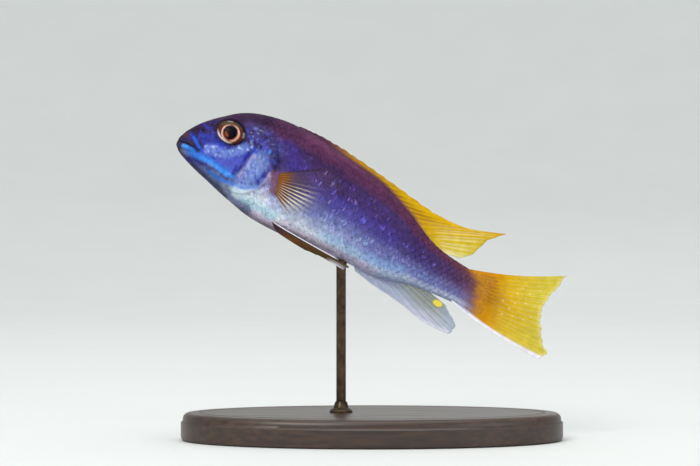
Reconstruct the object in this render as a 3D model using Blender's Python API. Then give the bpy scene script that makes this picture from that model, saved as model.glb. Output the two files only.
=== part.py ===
import math

import bmesh
import bpy
from mathutils import Matrix, Vector
from mathutils.geometry import interpolate_bezier

# A still, life-size acei cichlid on a plain display stand. Sizes are in millimetres and are
# turned into metres by MM. The fish has its own frame: along from the snout to the tail, side
# to its right (the left flank is at minus side), height towards the back.
MM = 0.001
GAP = 0.3
MERGE = 0.002

# Nose-up pitch in degrees, and where the snout stands over the base
PITCH = 27.0
SNOUT = (-56.0, 85.5)

# Along, height of the back, height of the belly, half width
BODY = [
    (0.0, 2.3, -0.6, 1.1),
    (1.4, 5.3, -2.0, 2.7),
    (4.0, 8.8, -3.2, 4.0),
    (8.0, 12.6, -4.6, 5.3),
    (13.0, 16.4, -6.0, 6.5),
    (20.0, 19.1, -8.1, 7.4),
    (28.0, 20.2, -9.8, 8.0),
    (38.0, 19.7, -10.1, 7.8),
    (48.0, 18.3, -9.5, 7.0),
    (58.0, 16.7, -8.8, 5.9),
    (68.0, 13.0, -8.6, 4.5),
    (80.0, 7.7, -6.0, 2.8),
    (91.5, 6.0, -5.1, 1.7),
]
BODY_LENGTH = BODY[-1][0]
SNOUT_TIP = (-0.2, 0.8)

# The widest level as a share of the depth, and how full the sections are (1 is an ellipse)
WAIST = 0.45
FULLNESS = 0.92
BODY_RINGS = 40
BODY_SIDES = 28
RING_CROWDING = 1.35

# Cuts across the body
HEAD_END = 24.0
TRUNK_END = 76.0

# The mouth: a line just above the snout's tip, its corner, and the rear of the jaw
MOUTH_CORNER = (6.8, 1.05)
MOUTH_FRONT = (-4.0, 0.75)
JAW_REAR = (9.6, -9.0)
JAW_FRONT = (-4.0, -9.0)
JAW_CUT_HALF_WIDTH = 12.0

# Lips: height, radius and how far back the middle lies; they sink in and thin out to the rear
UPPER_LIP = (2.05, 0.95, 0.55)
LOWER_LIP = (-0.4, 1.0, 0.85)
LIP_STATIONS = (6.8, 4.6, 2.8, 1.4)
LIP_SINK = (0.1, 0.45)
LIP_TAPER = 0.6

NOSTRIL = (5.1, 6.6)
NOSTRIL_RADIUS = 0.42
NOSTRIL_RIM = 0.17

# Eyes: centre from the side, half sizes along, up and outward, and how deep the centre lies
EYE = (12.6, 9.8)
EYE_HALF = (4.9, 4.15, 2.2)
EYE_DEPTH = 1.15
EYE_LEAN = 14.0
EYE_TOE = 8.0
EYE_RIM = 0.5
EYE_RIM_HALF = (4.75, 4.05)
EYE_RIM_SIDES = 24
NOSTRIL_RIM_SIDES = 10
RIM_SINK = 0.4

# Gill covers: outline from the rear upward and round, how far the front and the rear edge
# stand out of the flank, and thickness
GILL_CENTRE = (23.6, 2.4)
GILL_OUTLINE = [(28.9, 5.0), (28.0, 9.0), (25.0, 10.7), (21.6, 9.8), (20.4, 6.0), (20.1, 1.6),
                (18.6, -1.8), (17.4, -4.4), (21.0, -5.4), (25.0, -3.6), (27.8, 0.4)]
GILL_FRONT_LIFT = 0.15
GILL_REAR_LIFT = 0.55
GILL_THICK = 1.2
GILL_EDGE_ROUNDING = 0.6
GILL_SIDES = 36
GILL_RINGS = 12

# Fins: thickness of the membrane and of the rays at the root and at the edge, how far out the
# membrane reaches between the ray tips, and how fast a thick root thins out
WEB = 0.55
RAY_ROOT = 1.1
RAY_TIP = 0.7
WEB_REACH = 0.97
ROOT_BLEND = 4.0

# Back fin: along and height of its upper edge and of its rear edge
DORSAL_RAYS = 26
DORSAL_ROWS = 4
DORSAL_ROOT = (28.5, 81.0)
DORSAL_TOP = [(29.5, 20.8), (46.6, 19.9), (63.0, 17.5), (77.0, 15.6), (87.0, 16.3), (96.8, 19.8)]
DORSAL_REAR = [(96.8, 19.8), (92.6, 15.6), (90.4, 10.2), (87.6, 7.3)]
DORSAL_TOP_SHARE = 0.84
DORSAL_LEAN = 1.6

# Tail fin: heights of its root, and its rear edge from the upper tip to the lower
CAUDAL_RAYS = 16
CAUDAL_ROWS = 7
CAUDAL_ROOT = (5.7, -4.9)
CAUDAL_ROOT_THICK = 1.8
CAUDAL_REAR = [(117.5, 16.9), (116.5, 12.0), (115.4, 7.1), (115.7, 4.3), (118.0, -0.3),
               (120.5, -3.7), (122.6, -6.1), (121.0, -8.2)]
CAUDAL_BOW = -1.0

# Fin behind the vent: its lower edge and its rear edge
ANAL_RAYS = 11
ANAL_ROWS = 4
ANAL_ROOT = (61.0, 82.5)
ANAL_LOWER = [(62.4, -9.7), (70.0, -11.2), (78.2, -12.1), (86.0, -13.8), (94.8, -13.7)]
ANAL_REAR = [(94.8, -13.7), (95.3, -10.6), (92.3, -8.2), (90.0, -6.5)]
ANAL_LOWER_SHARE = 0.6

# The thick roots of the paired fins stand on a round flank, so their middle keeps a wider gap
PAIRED_FIN_GAP = 0.42

# Breast fins: root and edge as seen from the side, spread away from the flank in degrees
PECTORAL_RAYS = 13
PECTORAL_ROWS = 7
PECTORAL_ROOT = [(30.2, 5.4), (31.0, -1.6)]
PECTORAL_EDGE = [(43.9, 14.0), (47.9, 12.6), (49.3, 8.5), (48.7, 4.8), (45.5, 0.6), (37.7, -3.8)]
PECTORAL_SPREAD = 27.0
PECTORAL_RISE = 3.2
PECTORAL_ROOT_THICK = 1.8

# Belly fins: root as seen from the side, and the ray tips as along, side and height
PELVIC_RAYS = 6
PELVIC_ROWS = 6
PELVIC_ROOT = [(34.8, -7.2), (36.6, -9.3)]
PELVIC_EDGE = [(56.0, 6.2, -8.7), (61.2, 5.2, -10.3), (55.5, 3.8, -10.7), (47.0, 3.0, -11.0)]
PELVIC_RISE = 2.2
PELVIC_ROOT_THICK = 1.2

# Stand
BASE_HALF = (55.0, 28.0)
BASE_THICK = 8.0
BASE_SIDES = 64
BASE_BEVEL = 1.2
ROD_ALONG = 57.2
ROD_RADIUS = 1.4
ROD_SIDES = 20


def clear_scene():
    for thing in list(bpy.data.objects):
        bpy.data.objects.remove(thing, do_unlink=True)


def material(name, colour, roughness, metallic=0.0):
    made = bpy.data.materials.new(name)
    made.use_nodes = True
    shader = made.node_tree.nodes["Principled BSDF"]
    shader.inputs["Base Color"].default_value = (*colour, 1.0)
    shader.inputs["Roughness"].default_value = roughness
    shader.inputs["Metallic"].default_value = metallic
    made.diffuse_color = (*colour, 1.0)
    return made


def new_object(name, mesh_data, parent=None):
    made = bpy.data.objects.new(name, mesh_data)
    bpy.context.scene.collection.objects.link(made)
    made.parent = parent
    return made


def object_from(name, shape, parent=None):
    mesh_data = bpy.data.meshes.new(name)
    bmesh.ops.recalc_face_normals(shape, faces=shape.faces)
    if shape.calc_volume(signed=True) < 0:
        bmesh.ops.reverse_faces(shape, faces=shape.faces)
    shape.to_mesh(mesh_data)
    shape.free()
    return new_object(name, mesh_data, parent)


def finish(made, skin, smooth_angle=40.0):
    made.data.materials.clear()
    made.data.materials.append(skin)
    made.data.shade_smooth()
    made.data.set_sharp_from_angle(angle=math.radians(smooth_angle))


def apply_modifiers(made):
    graph = bpy.context.evaluated_depsgraph_get()
    graph.update()
    result = bpy.data.meshes.new_from_object(made.evaluated_get(graph))
    made.modifiers.clear()
    made.data = result


def keep_largest(made):
    # A union or a cut can leave a scrap or a sealed hollow: only the largest surface stays
    shape = bmesh.new()
    shape.from_mesh(made.data)
    bmesh.ops.remove_doubles(shape, verts=shape.verts, dist=MERGE * MM)
    bmesh.ops.dissolve_degenerate(shape, edges=shape.edges, dist=MERGE * MM)
    unseen = set(shape.verts)
    surfaces = []
    while unseen:
        surface = set()
        front = [unseen.pop()]
        while front:
            vertex = front.pop()
            surface.add(vertex)
            for edge in vertex.link_edges:
                other = edge.other_vert(vertex)
                if other in unseen:
                    unseen.remove(other)
                    front.append(other)
        surfaces.append(surface)
    surfaces.sort(key=len)
    scraps = [vertex for surface in surfaces[:-1] for vertex in surface]
    bmesh.ops.delete(shape, geom=scraps, context="VERTS")
    shape.to_mesh(made.data)
    shape.free()


def combine(made, operation, others):
    # One Boolean with all the others, which are then removed
    group = bpy.data.collections.new("operands")
    for other in others:
        group.objects.link(other)
    boolean = made.modifiers.new("combine", "BOOLEAN")
    boolean.operation = operation
    boolean.solver = "EXACT"
    boolean.operand_type = "COLLECTION"
    boolean.collection = group
    apply_modifiers(made)
    for other in others:
        bpy.data.objects.remove(other, do_unlink=True)
    bpy.data.collections.remove(group)
    keep_largest(made)


def smooth_line(points, steps=10):
    # A line through the points, rounded between them, as closely spaced points
    places = [Vector((*point, 0.0)) if len(point) == 2 else Vector(point) for point in points]
    slopes = []
    for index in range(len(places)):
        before = places[max(index - 1, 0)]
        after = places[min(index + 1, len(places) - 1)]
        slopes.append((after - before).normalized())
    line = [places[0]]
    for index in range(len(places) - 1):
        start, end = places[index], places[index + 1]
        reach = (end - start).length / 3
        handles = (start + slopes[index] * reach, end - slopes[index + 1] * reach)
        line += interpolate_bezier(start, *handles, end, steps)[1:]
    return line


def point_on(line, share):
    # The point at a share of the line's length
    lengths = [(line[i + 1] - line[i]).length for i in range(len(line) - 1)]
    left = share * sum(lengths)
    for index, length in enumerate(lengths):
        if left <= length or index == len(lengths) - 1:
            return line[index].lerp(line[index + 1], min(left / length, 1.0))
        left -= length


def body_sizes(along):
    # Back, belly and half width at a distance from the snout, rounded between the stations
    along = min(max(along, 0.0), BODY_LENGTH)
    index = 0
    while index < len(BODY) - 2 and along > BODY[index + 1][0]:
        index += 1
    here, there = BODY[index], BODY[index + 1]
    before, after = BODY[max(index - 1, 0)], BODY[min(index + 2, len(BODY) - 1)]
    span = there[0] - here[0]
    t = (along - here[0]) / span
    sizes = []
    for k in (1, 2, 3):
        start_slope = (there[k] - before[k]) / (there[0] - before[0]) * span
        end_slope = (after[k] - here[k]) / (after[0] - here[0]) * span
        bend = here[k] * (2 * t**3 - 3 * t**2 + 1) + there[k] * (3 * t**2 - 2 * t**3)
        sizes.append(bend + start_slope * (t**3 - 2 * t**2 + t) + end_slope * (t**3 - t**2))
    return sizes


def section_point(along, turn):
    back, belly, half = body_sizes(along)
    waist = belly + WAIST * (back - belly)
    rise = math.sin(turn)
    reach = back - waist if rise > 0 else waist - belly
    out = math.cos(turn)
    return Vector((along, math.copysign(half * abs(out) ** FULLNESS, out), waist + rise * reach))


def side_at(along, height):
    # Half width of the body at one height
    back, belly, half = body_sizes(along)
    waist = belly + WAIST * (back - belly)
    reach = back - waist if height > waist else waist - belly
    rise = min(abs(height - waist) / reach, 1.0)
    return half * math.sqrt(1 - rise**2) ** FULLNESS


def on_flank(along, height, side, lift=0.0):
    # A point on the body's surface, or lifted off it along the surface's normal
    step = 0.05
    slope_along = (side_at(along + step, height) - side_at(along - step, height)) / (2 * step)
    slope_up = (side_at(along, height + step) - side_at(along, height - step)) / (2 * step)
    normal = Vector((-slope_along, 1.0, -slope_up)).normalized()
    point = Vector((along, side_at(along, height), height)) + normal * lift
    return Vector((point.x, side * point.y, point.z))


def body(name, parent):
    # A UV sphere whose rings are moved to the body's sections, closer together at the snout
    shape = bmesh.new()
    bmesh.ops.create_uvsphere(shape, u_segments=BODY_SIDES, v_segments=BODY_RINGS, radius=1.0)
    for vertex in shape.verts:
        share = math.acos(max(-1.0, min(1.0, vertex.co.z))) / math.pi
        ring = round(share * BODY_RINGS)
        if ring == 0:
            vertex.co = Vector((SNOUT_TIP[0], 0.0, SNOUT_TIP[1])) * MM
        elif ring == BODY_RINGS:
            back, belly, half = body_sizes(BODY_LENGTH)
            vertex.co = Vector((BODY_LENGTH, 0.0, (back + belly) / 2)) * MM
        else:
            along = BODY_LENGTH * ((ring - 1) / (BODY_RINGS - 2)) ** RING_CROWDING
            turn = math.atan2(vertex.co.y, vertex.co.x)
            vertex.co = section_point(along, turn) * MM
    return object_from(name, shape, parent)


def cut_away(made, along, keep_front):
    # Everything behind or ahead of a plane across the body is removed and the end is closed
    shape = bmesh.new()
    shape.from_mesh(made.data)
    geometry = list(shape.verts) + list(shape.edges) + list(shape.faces)
    cut = bmesh.ops.bisect_plane(
        shape, geom=geometry, plane_co=(along * MM, 0, 0), plane_no=(1, 0, 0),
        clear_outer=keep_front, clear_inner=not keep_front)
    rim = [part for part in cut["geom_cut"] if isinstance(part, bmesh.types.BMEdge)]
    bmesh.ops.contextual_create(shape, geom=rim)
    bmesh.ops.recalc_face_normals(shape, faces=shape.faces)
    shape.to_mesh(made.data)
    shape.free()


def grown(outline, distance):
    # A convex outline, listed clockwise as seen from the left, with each side moved outward
    moved = []
    count = len(outline)
    for index in range(count):
        here = Vector(outline[index])
        before = (here - Vector(outline[index - 1])).normalized()
        after = (Vector(outline[(index + 1) % count]) - here).normalized()
        normals = Vector((-before.y, before.x)), Vector((-after.y, after.x))
        middle = (normals[0] + normals[1]).normalized()
        moved.append(here + middle * distance / middle.dot(normals[0]))
    return moved


def jaw_prism(name, distance, parent):
    # The space of the lower jaw, cut right across the head, grown by a distance
    outline = grown([MOUTH_FRONT, MOUTH_CORNER, JAW_REAR, JAW_FRONT], distance)
    width = JAW_CUT_HALF_WIDTH
    shape = bmesh.new()
    ring = [shape.verts.new(Vector((x, -width, z)) * MM) for x, z in outline]
    face = shape.faces.new(ring)
    raised = bmesh.ops.extrude_face_region(shape, geom=[face])
    for part in raised["geom"]:
        if isinstance(part, bmesh.types.BMVert):
            part.co.y = width * MM
    return object_from(name, shape, parent)


def tube(name, path, radii, closed, parent):
    curve = bpy.data.curves.new(name, "CURVE")
    curve.dimensions = "3D"
    curve.bevel_depth = MM
    curve.bevel_resolution = 1
    curve.use_fill_caps = True
    spline = curve.splines.new("POLY")
    spline.points.add(len(path) - 1)
    spline.use_cyclic_u = closed
    for point, place, radius in zip(spline.points, path, radii):
        point.co = (*(place * MM), 1.0)
        point.radius = radius
    source = new_object(name + "_path", curve)
    graph = bpy.context.evaluated_depsgraph_get()
    graph.update()
    shape = bmesh.new()
    shape.from_mesh(bpy.data.meshes.new_from_object(source.evaluated_get(graph)))
    bpy.data.objects.remove(source, do_unlink=True)
    bmesh.ops.remove_doubles(shape, verts=shape.verts, dist=MERGE * MM)
    return object_from(name, shape, parent)


def lip(name, sizes, parent):
    # A rounded lip that follows the snout from one corner of the mouth to the other
    height, radius, front = sizes
    length = LIP_STATIONS[0] - front
    right = []
    for along in LIP_STATIONS:
        sink = LIP_SINK[0] + (LIP_SINK[1] - LIP_SINK[0]) * (along - front) / length
        right.append(Vector((along, side_at(along, height) - sink * radius, height)))
    left = [Vector((point.x, -point.y, point.z)) for point in right]
    path = smooth_line(left + [Vector((front, 0.0, height))] + right[::-1], 3)
    radii = [radius * (1.0 - LIP_TAPER * (point.x - front) / length) for point in path]
    return tube(name, path, radii, False, parent)


def rim(name, centre, half, radius, sides, side, parent):
    # A ring that lies on the flank round an eye or a nostril
    path = []
    for index in range(sides):
        turn = 2 * math.pi * index / sides
        along = centre[0] + half[0] * math.cos(turn)
        height = centre[1] + half[1] * math.sin(turn)
        path.append(on_flank(along, height, side, -RIM_SINK * radius))
    return tube(name, path, [radius] * sides, True, parent)


def ellipsoid(name, half, place, turn, parent, rings=12):
    shape = bmesh.new()
    bmesh.ops.create_uvsphere(shape, u_segments=2 * rings, v_segments=rings, radius=MM)
    bmesh.ops.scale(shape, vec=half, verts=shape.verts)
    bmesh.ops.transform(shape, matrix=Matrix.Translation(place * MM) @ turn, verts=shape.verts)
    return object_from(name, shape, parent)


def eye_turn(side):
    # Turns an eye's own Z, its axis, outward with a lean upward and a toe-in forward
    lean = Matrix.Rotation(math.radians(90 - EYE_LEAN) * -side, 4, "X")
    toe = Matrix.Rotation(math.radians(EYE_TOE) * side, 4, "Z")
    return toe @ lean


def eye(name, side, extra, parent):
    along, height = EYE
    surface = on_flank(along, height, side)
    turn = eye_turn(side)
    axis = turn.to_3x3() @ Vector((0, 0, 1))
    half = [size + extra for size in EYE_HALF]
    return ellipsoid(name, half, surface - axis * EYE_DEPTH, turn, parent)


def gill_cover(name, side, extra, parent):
    # A thin flap that lies on the flank: its two faces are the halves of a flattened sphere
    outline = smooth_line(GILL_OUTLINE + GILL_OUTLINE[:1], 6)
    centre = Vector((*GILL_CENTRE, 0.0))
    front = min(point.x for point in outline)
    rear = max(point.x for point in outline)
    shape = bmesh.new()
    bmesh.ops.create_uvsphere(
        shape, u_segments=GILL_SIDES, v_segments=GILL_RINGS, radius=1.0)
    for vertex in shape.verts:
        turn = math.atan2(vertex.co.y, vertex.co.x) % (2 * math.pi)
        edge = point_on(outline, turn / (2 * math.pi)) - centre
        edge += edge.normalized() * extra
        place = centre + edge * math.hypot(vertex.co.x, vertex.co.y) ** GILL_EDGE_ROUNDING
        rearward = min(max((place.x - front) / (rear - front), 0.0), 1.0)
        lift = GILL_FRONT_LIFT + (GILL_REAR_LIFT - GILL_FRONT_LIFT) * rearward
        lift += -GILL_THICK / 2 + vertex.co.z * (GILL_THICK / 2 + extra)
        vertex.co = on_flank(place.x, place.y, side, lift) * MM
    return object_from(name, shape, parent)


def fin(name, place, rays, rows, root_thick, parent):
    # A sheet of rays and membrane columns in turn, thickened more along each ray
    columns = 2 * (rays - 1)
    shape = bmesh.new()
    bmesh.ops.create_grid(shape, x_segments=columns, y_segments=rows, size=0.5)
    weights = shape.verts.layers.deform.verify()
    for vertex in shape.verts:
        across = vertex.co.x + 0.5
        out = vertex.co.y + 0.5
        on_ray = round(across * columns) % 2 == 0
        ray = RAY_ROOT + (RAY_TIP - RAY_ROOT) * out
        thick = ray if on_ray else WEB
        thick += (root_thick - thick) * max(0.0, 1 - ROOT_BLEND * out) ** 2
        vertex[weights][0] = thick / root_thick
        reach = out if on_ray else out * WEB_REACH
        vertex.co = place(across, reach) * MM
    bmesh.ops.triangulate(shape, faces=shape.faces)
    made = object_from(name, shape, parent)
    made.vertex_groups.new(name="thickness")
    solidify = made.modifiers.new("thickness", "SOLIDIFY")
    solidify.thickness = root_thick * MM
    solidify.offset = 0.0
    solidify.vertex_group = "thickness"
    solidify.thickness_vertex_group = 0.0
    return made


def dorsal_place(across, out):
    along = DORSAL_ROOT[0] + across * (DORSAL_ROOT[1] - DORSAL_ROOT[0])
    root = Vector((along, body_sizes(along)[0] + GAP, 0.0))
    if across <= DORSAL_TOP_SHARE:
        tip = point_on(smooth_line(DORSAL_TOP), (across / DORSAL_TOP_SHARE) ** DORSAL_LEAN)
    else:
        tip = point_on(smooth_line(DORSAL_REAR), (across - DORSAL_TOP_SHARE) / (1 - DORSAL_TOP_SHARE))
    point = root.lerp(tip, out)
    return Vector((point.x, 0.0, point.y))


def caudal_place(across, out):
    height = CAUDAL_ROOT[0] + across * (CAUDAL_ROOT[1] - CAUDAL_ROOT[0])
    root = Vector((BODY_LENGTH + GAP, height, 0.0))
    tip = point_on(smooth_line(CAUDAL_REAR), across)
    point = root.lerp(tip, out)
    bow = CAUDAL_BOW * math.sin(math.pi * out)
    return Vector((point.x, 0.0, point.y + bow))


def anal_place(across, out):
    along = ANAL_ROOT[0] + across * (ANAL_ROOT[1] - ANAL_ROOT[0])
    root = Vector((along, body_sizes(along)[1] - GAP, 0.0))
    if across <= ANAL_LOWER_SHARE:
        tip = point_on(smooth_line(ANAL_LOWER), across / ANAL_LOWER_SHARE)
    else:
        tip = point_on(smooth_line(ANAL_REAR), (across - ANAL_LOWER_SHARE) / (1 - ANAL_LOWER_SHARE))
    point = root.lerp(tip, out)
    return Vector((point.x, 0.0, point.y))


def bent_ray(root, rise, tip, out):
    # A ray that leaves the body along the rise and bends over towards its tip
    return root * (1 - out) ** 2 + (root + rise) * 2 * out * (1 - out) + tip * out**2


def pectoral_place(side):
    def place(across, out):
        base = point_on(smooth_line(PECTORAL_ROOT), across)
        root = on_flank(base.x, base.y, side, PAIRED_FIN_GAP)
        rise = on_flank(base.x, base.y, side, PAIRED_FIN_GAP + PECTORAL_RISE) - root
        edge = point_on(smooth_line(PECTORAL_EDGE), across)
        away = math.tan(math.radians(PECTORAL_SPREAD)) * (edge.x - base.x) + PECTORAL_RISE / 2
        tip = Vector((edge.x, root.y + side * away, edge.y))
        return bent_ray(root, rise, tip, out)
    return place


def pelvic_place(side):
    def place(across, out):
        base = point_on(smooth_line(PELVIC_ROOT), across)
        root = on_flank(base.x, base.y, side, PAIRED_FIN_GAP)
        rise = on_flank(base.x, base.y, side, PAIRED_FIN_GAP + PELVIC_RISE) - root
        edge = point_on(smooth_line(PELVIC_EDGE), across)
        tip = Vector((edge.x, side * edge.y, edge.z))
        return bent_ray(root, rise, tip, out)
    return place


def stand_base(parent):
    shape = bmesh.new()
    bmesh.ops.create_cone(
        shape, cap_ends=True, segments=BASE_SIDES, radius1=MM, radius2=MM, depth=BASE_THICK * MM)
    bmesh.ops.scale(shape, vec=(*BASE_HALF, 1.0), verts=shape.verts)
    bmesh.ops.translate(shape, vec=(0, 0, BASE_THICK / 2 * MM), verts=shape.verts)
    made = object_from("stand_base", shape, parent)
    bevel = made.modifiers.new("edge", "BEVEL")
    bevel.width = BASE_BEVEL * MM
    bevel.segments = 2
    bevel.limit_method = "ANGLE"
    return made


def in_room(along, height):
    # A point of the fish's middle plane, in the room's frame
    pitch = math.radians(PITCH)
    x = SNOUT[0] + along * math.cos(pitch) + height * math.sin(pitch)
    z = SNOUT[1] - along * math.sin(pitch) + height * math.cos(pitch)
    return x, z


def stand_rod(parent):
    # An upright from the base to the belly, its top cut to the belly's slope
    ends = []
    for along in (ROD_ALONG - ROD_RADIUS, ROD_ALONG + ROD_RADIUS):
        ends.append(in_room(along, body_sizes(along)[1] - GAP))
    ahead, behind = ends
    x, top = (ahead[0] + behind[0]) / 2, (ahead[1] + behind[1]) / 2
    slope = (behind[1] - ahead[1]) / (behind[0] - ahead[0])
    bottom = BASE_THICK + GAP
    shape = bmesh.new()
    bmesh.ops.create_cone(shape, cap_ends=True, segments=ROD_SIDES, radius1=ROD_RADIUS * MM,
                          radius2=ROD_RADIUS * MM, depth=MM)
    for vertex in shape.verts:
        end = top + slope * vertex.co.x / MM if vertex.co.z > 0 else bottom
        vertex.co.z = end * MM
        vertex.co.x += x * MM
    return object_from("stand_rod", shape, parent)


def build():
    clear_scene()
    pitch = bpy.data.objects.new("fish_pose", None)
    bpy.context.scene.collection.objects.link(pitch)
    pitch.location = (SNOUT[0] * MM, 0.0, SNOUT[1] * MM)
    pitch.rotation_euler = (0.0, math.radians(PITCH), 0.0)

    violet = material("violet_skin", (0.07, 0.05, 0.22), 0.38)
    flank = material("flank_skin", (0.09, 0.07, 0.26), 0.36)
    silver_blue = material("gill_skin", (0.16, 0.20, 0.55), 0.33)
    yellow = material("yellow_fin", (0.80, 0.55, 0.06), 0.45)
    pale = material("pale_fin", (0.50, 0.52, 0.50), 0.45)
    eye_gloss = material("eye", (0.05, 0.03, 0.025), 0.08)
    wood = material("stand_wood", (0.045, 0.028, 0.02), 0.5)
    bronze = material("stand_bronze", (0.05, 0.04, 0.03), 0.35, 1.0)

    head = body("head", pitch)
    cut_away(head, HEAD_END - GAP / 2, True)
    combine(head, "DIFFERENCE", [jaw_prism("jaw_space", GAP / 2, pitch)])
    raised = [lip("upper_lip", UPPER_LIP, pitch)]
    cutters = []
    for side in (-1, 1):
        raised.append(rim(f"eye_rim_{side}", EYE, EYE_RIM_HALF, EYE_RIM, EYE_RIM_SIDES, side,
                          pitch))
        hole_rim = [NOSTRIL_RADIUS + NOSTRIL_RIM] * 2
        raised.append(rim(f"nostril_rim_{side}", NOSTRIL, hole_rim, NOSTRIL_RIM,
                          NOSTRIL_RIM_SIDES, side, pitch))
        cutters.append(eye(f"socket_{side}", side, GAP, pitch))
        cutters.append(gill_cover(f"gill_room_{side}", side, GAP, pitch))
        hole = on_flank(*NOSTRIL, side)
        round_hole = [NOSTRIL_RADIUS] * 3
        cutters.append(ellipsoid(f"nostril_{side}", round_hole, hole, Matrix(), pitch, 6))
    combine(head, "UNION", raised)
    combine(head, "DIFFERENCE", cutters)
    finish(head, violet)

    jaw = body("lower_jaw", pitch)
    combine(jaw, "INTERSECT", [jaw_prism("jaw_keep", -GAP / 2, pitch)])
    combine(jaw, "UNION", [lip("lower_lip", LOWER_LIP, pitch)])
    finish(jaw, violet)

    trunk = body("trunk", pitch)
    cut_away(trunk, HEAD_END + GAP / 2, False)
    cut_away(trunk, TRUNK_END - GAP / 2, True)
    combine(trunk, "DIFFERENCE", [gill_cover(f"gill_room_{s}", s, GAP, pitch) for s in (-1, 1)])
    finish(trunk, flank)

    stalk = body("tail_stalk", pitch)
    cut_away(stalk, TRUNK_END + GAP / 2, False)
    finish(stalk, flank)

    for side, word in ((-1, "left"), (1, "right")):
        finish(eye(f"eye_{word}", side, 0.0, pitch), eye_gloss)
        finish(gill_cover(f"gill_cover_{word}", side, 0.0, pitch), silver_blue)
        pectoral = fin(f"pectoral_fin_{word}", pectoral_place(side), PECTORAL_RAYS,
                       PECTORAL_ROWS, PECTORAL_ROOT_THICK, pitch)
        finish(pectoral, pale)
        pelvic = fin(f"pelvic_fin_{word}", pelvic_place(side), PELVIC_RAYS, PELVIC_ROWS,
                     PELVIC_ROOT_THICK, pitch)
        finish(pelvic, pale)

    dorsal = fin("dorsal_fin", dorsal_place, DORSAL_RAYS, DORSAL_ROWS, RAY_ROOT, pitch)
    caudal = fin("caudal_fin", caudal_place, CAUDAL_RAYS, CAUDAL_ROWS, CAUDAL_ROOT_THICK, pitch)
    anal = fin("anal_fin", anal_place, ANAL_RAYS, ANAL_ROWS, RAY_ROOT, pitch)
    finish(dorsal, yellow)
    finish(caudal, yellow)
    finish(anal, pale)

    finish(stand_base(None), wood)
    finish(stand_rod(None), bronze)


build()
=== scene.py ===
import math

import bmesh
import bpy
import numpy as np
from mathutils import Matrix, Vector
from mathutils.geometry import interpolate_bezier


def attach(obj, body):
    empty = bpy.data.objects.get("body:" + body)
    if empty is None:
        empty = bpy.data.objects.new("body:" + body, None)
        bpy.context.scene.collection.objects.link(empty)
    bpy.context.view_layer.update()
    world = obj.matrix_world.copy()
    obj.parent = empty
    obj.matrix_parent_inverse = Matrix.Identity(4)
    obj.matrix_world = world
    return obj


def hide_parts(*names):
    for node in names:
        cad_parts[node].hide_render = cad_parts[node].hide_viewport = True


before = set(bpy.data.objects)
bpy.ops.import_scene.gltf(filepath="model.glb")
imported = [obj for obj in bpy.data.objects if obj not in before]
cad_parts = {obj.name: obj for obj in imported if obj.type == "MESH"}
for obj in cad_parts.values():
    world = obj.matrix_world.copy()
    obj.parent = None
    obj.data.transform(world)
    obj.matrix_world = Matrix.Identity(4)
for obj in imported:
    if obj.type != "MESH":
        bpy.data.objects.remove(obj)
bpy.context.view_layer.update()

# The looks of a life-size acei cichlid on its stand. The fish is modelled in millimetres in its
# own frame: along from the snout to the tail, side to its right, height towards the back.
millimetre = 0.001
fish = {
    "pitch": 27.0,                        # nose up, in degrees
    "snout": (-56.0, 85.5),               # where the snout stands in the room, in millimetres
}
fishToRoom = (Matrix.Translation(Vector((fish["snout"][0], 0.0, fish["snout"][1])) * millimetre)
              @ Matrix.Rotation(math.radians(fish["pitch"]), 4, "Y") @ Matrix.Scale(millimetre, 4))

body = {
    "stations": [                 # along, height of the back, height of the belly, half width
        (0.0, 2.3, -0.6, 1.1), (1.4, 5.3, -2.0, 2.7), (4.0, 8.8, -3.2, 4.0),
        (8.0, 12.6, -4.6, 5.3), (13.0, 16.4, -6.0, 6.5), (20.0, 19.1, -8.1, 7.4),
        (28.0, 20.2, -9.8, 8.0), (38.0, 19.7, -10.1, 7.8), (48.0, 18.3, -9.5, 7.0),
        (58.0, 16.7, -8.8, 5.9), (68.0, 13.0, -8.6, 4.5), (80.0, 7.7, -6.0, 2.8),
        (91.5, 6.0, -5.1, 1.7), (94.5, 6.4, -5.45, 1.0), (97.5, 7.2, -5.95, 0.45),
        (101.0, 8.3, -6.4, 0.14)],
    "waist": 0.45,                # the widest level, as a share of the depth
    "fullness": 0.92,
    "front": (-0.25, 0.8),        # the snout's foremost point
    "headEnd": 34.0,              # forms of the head end before this
    "rear": (101.6, 0.8),         # where the skin ends between the rays of the tail
}
bodyTable = np.array(body["stations"])


def paintOf(code):                # a colour as typed into the colour picker, made linear
    values = [int(code[at:at + 2], 16) / 255 for at in (1, 3, 5)]
    return np.array([v / 12.92 if v < 0.04 else ((v + 0.055) / 1.055) ** 2.4 for v in values])


def ease(value):
    value = np.clip(value, 0.0, 1.0)
    return value * value * (3 - 2 * value)


def hump(distance, width):
    return np.exp(-(distance / width) ** 2)


def blendTo(colours, other, share):
    share = np.clip(share, 0.0, 1.0)[:, None]
    return colours * (1 - share) + other * share


def limited(share, limits, measures):
    # A limit is a mask by its name, a measure's ramp from 0 to 1, or a band about its middle
    for measure, *span in limits:
        value = measures[measure]
        if len(span) == 2:
            value = ease((value - span[0]) / (span[1] - span[0]))
        elif span:
            value = hump(value - span[0], span[1])
        share = share * value
    return share


def coated(colours, palette, coats, measures):         # tones laid over each other
    for tone, strength, *limits in coats:
        colours = blendTo(colours, palette[tone], limited(strength, limits, measures))
    return colours


def plain(tone, points):
    return np.tile(tone, (len(points), 1))


def graded(value, stops, toneRow):        # tones that fade into each other from stop to stop
    return np.stack([np.interp(value, stops, [tone[k] for tone in toneRow]) for k in range(3)], -1)


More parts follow.
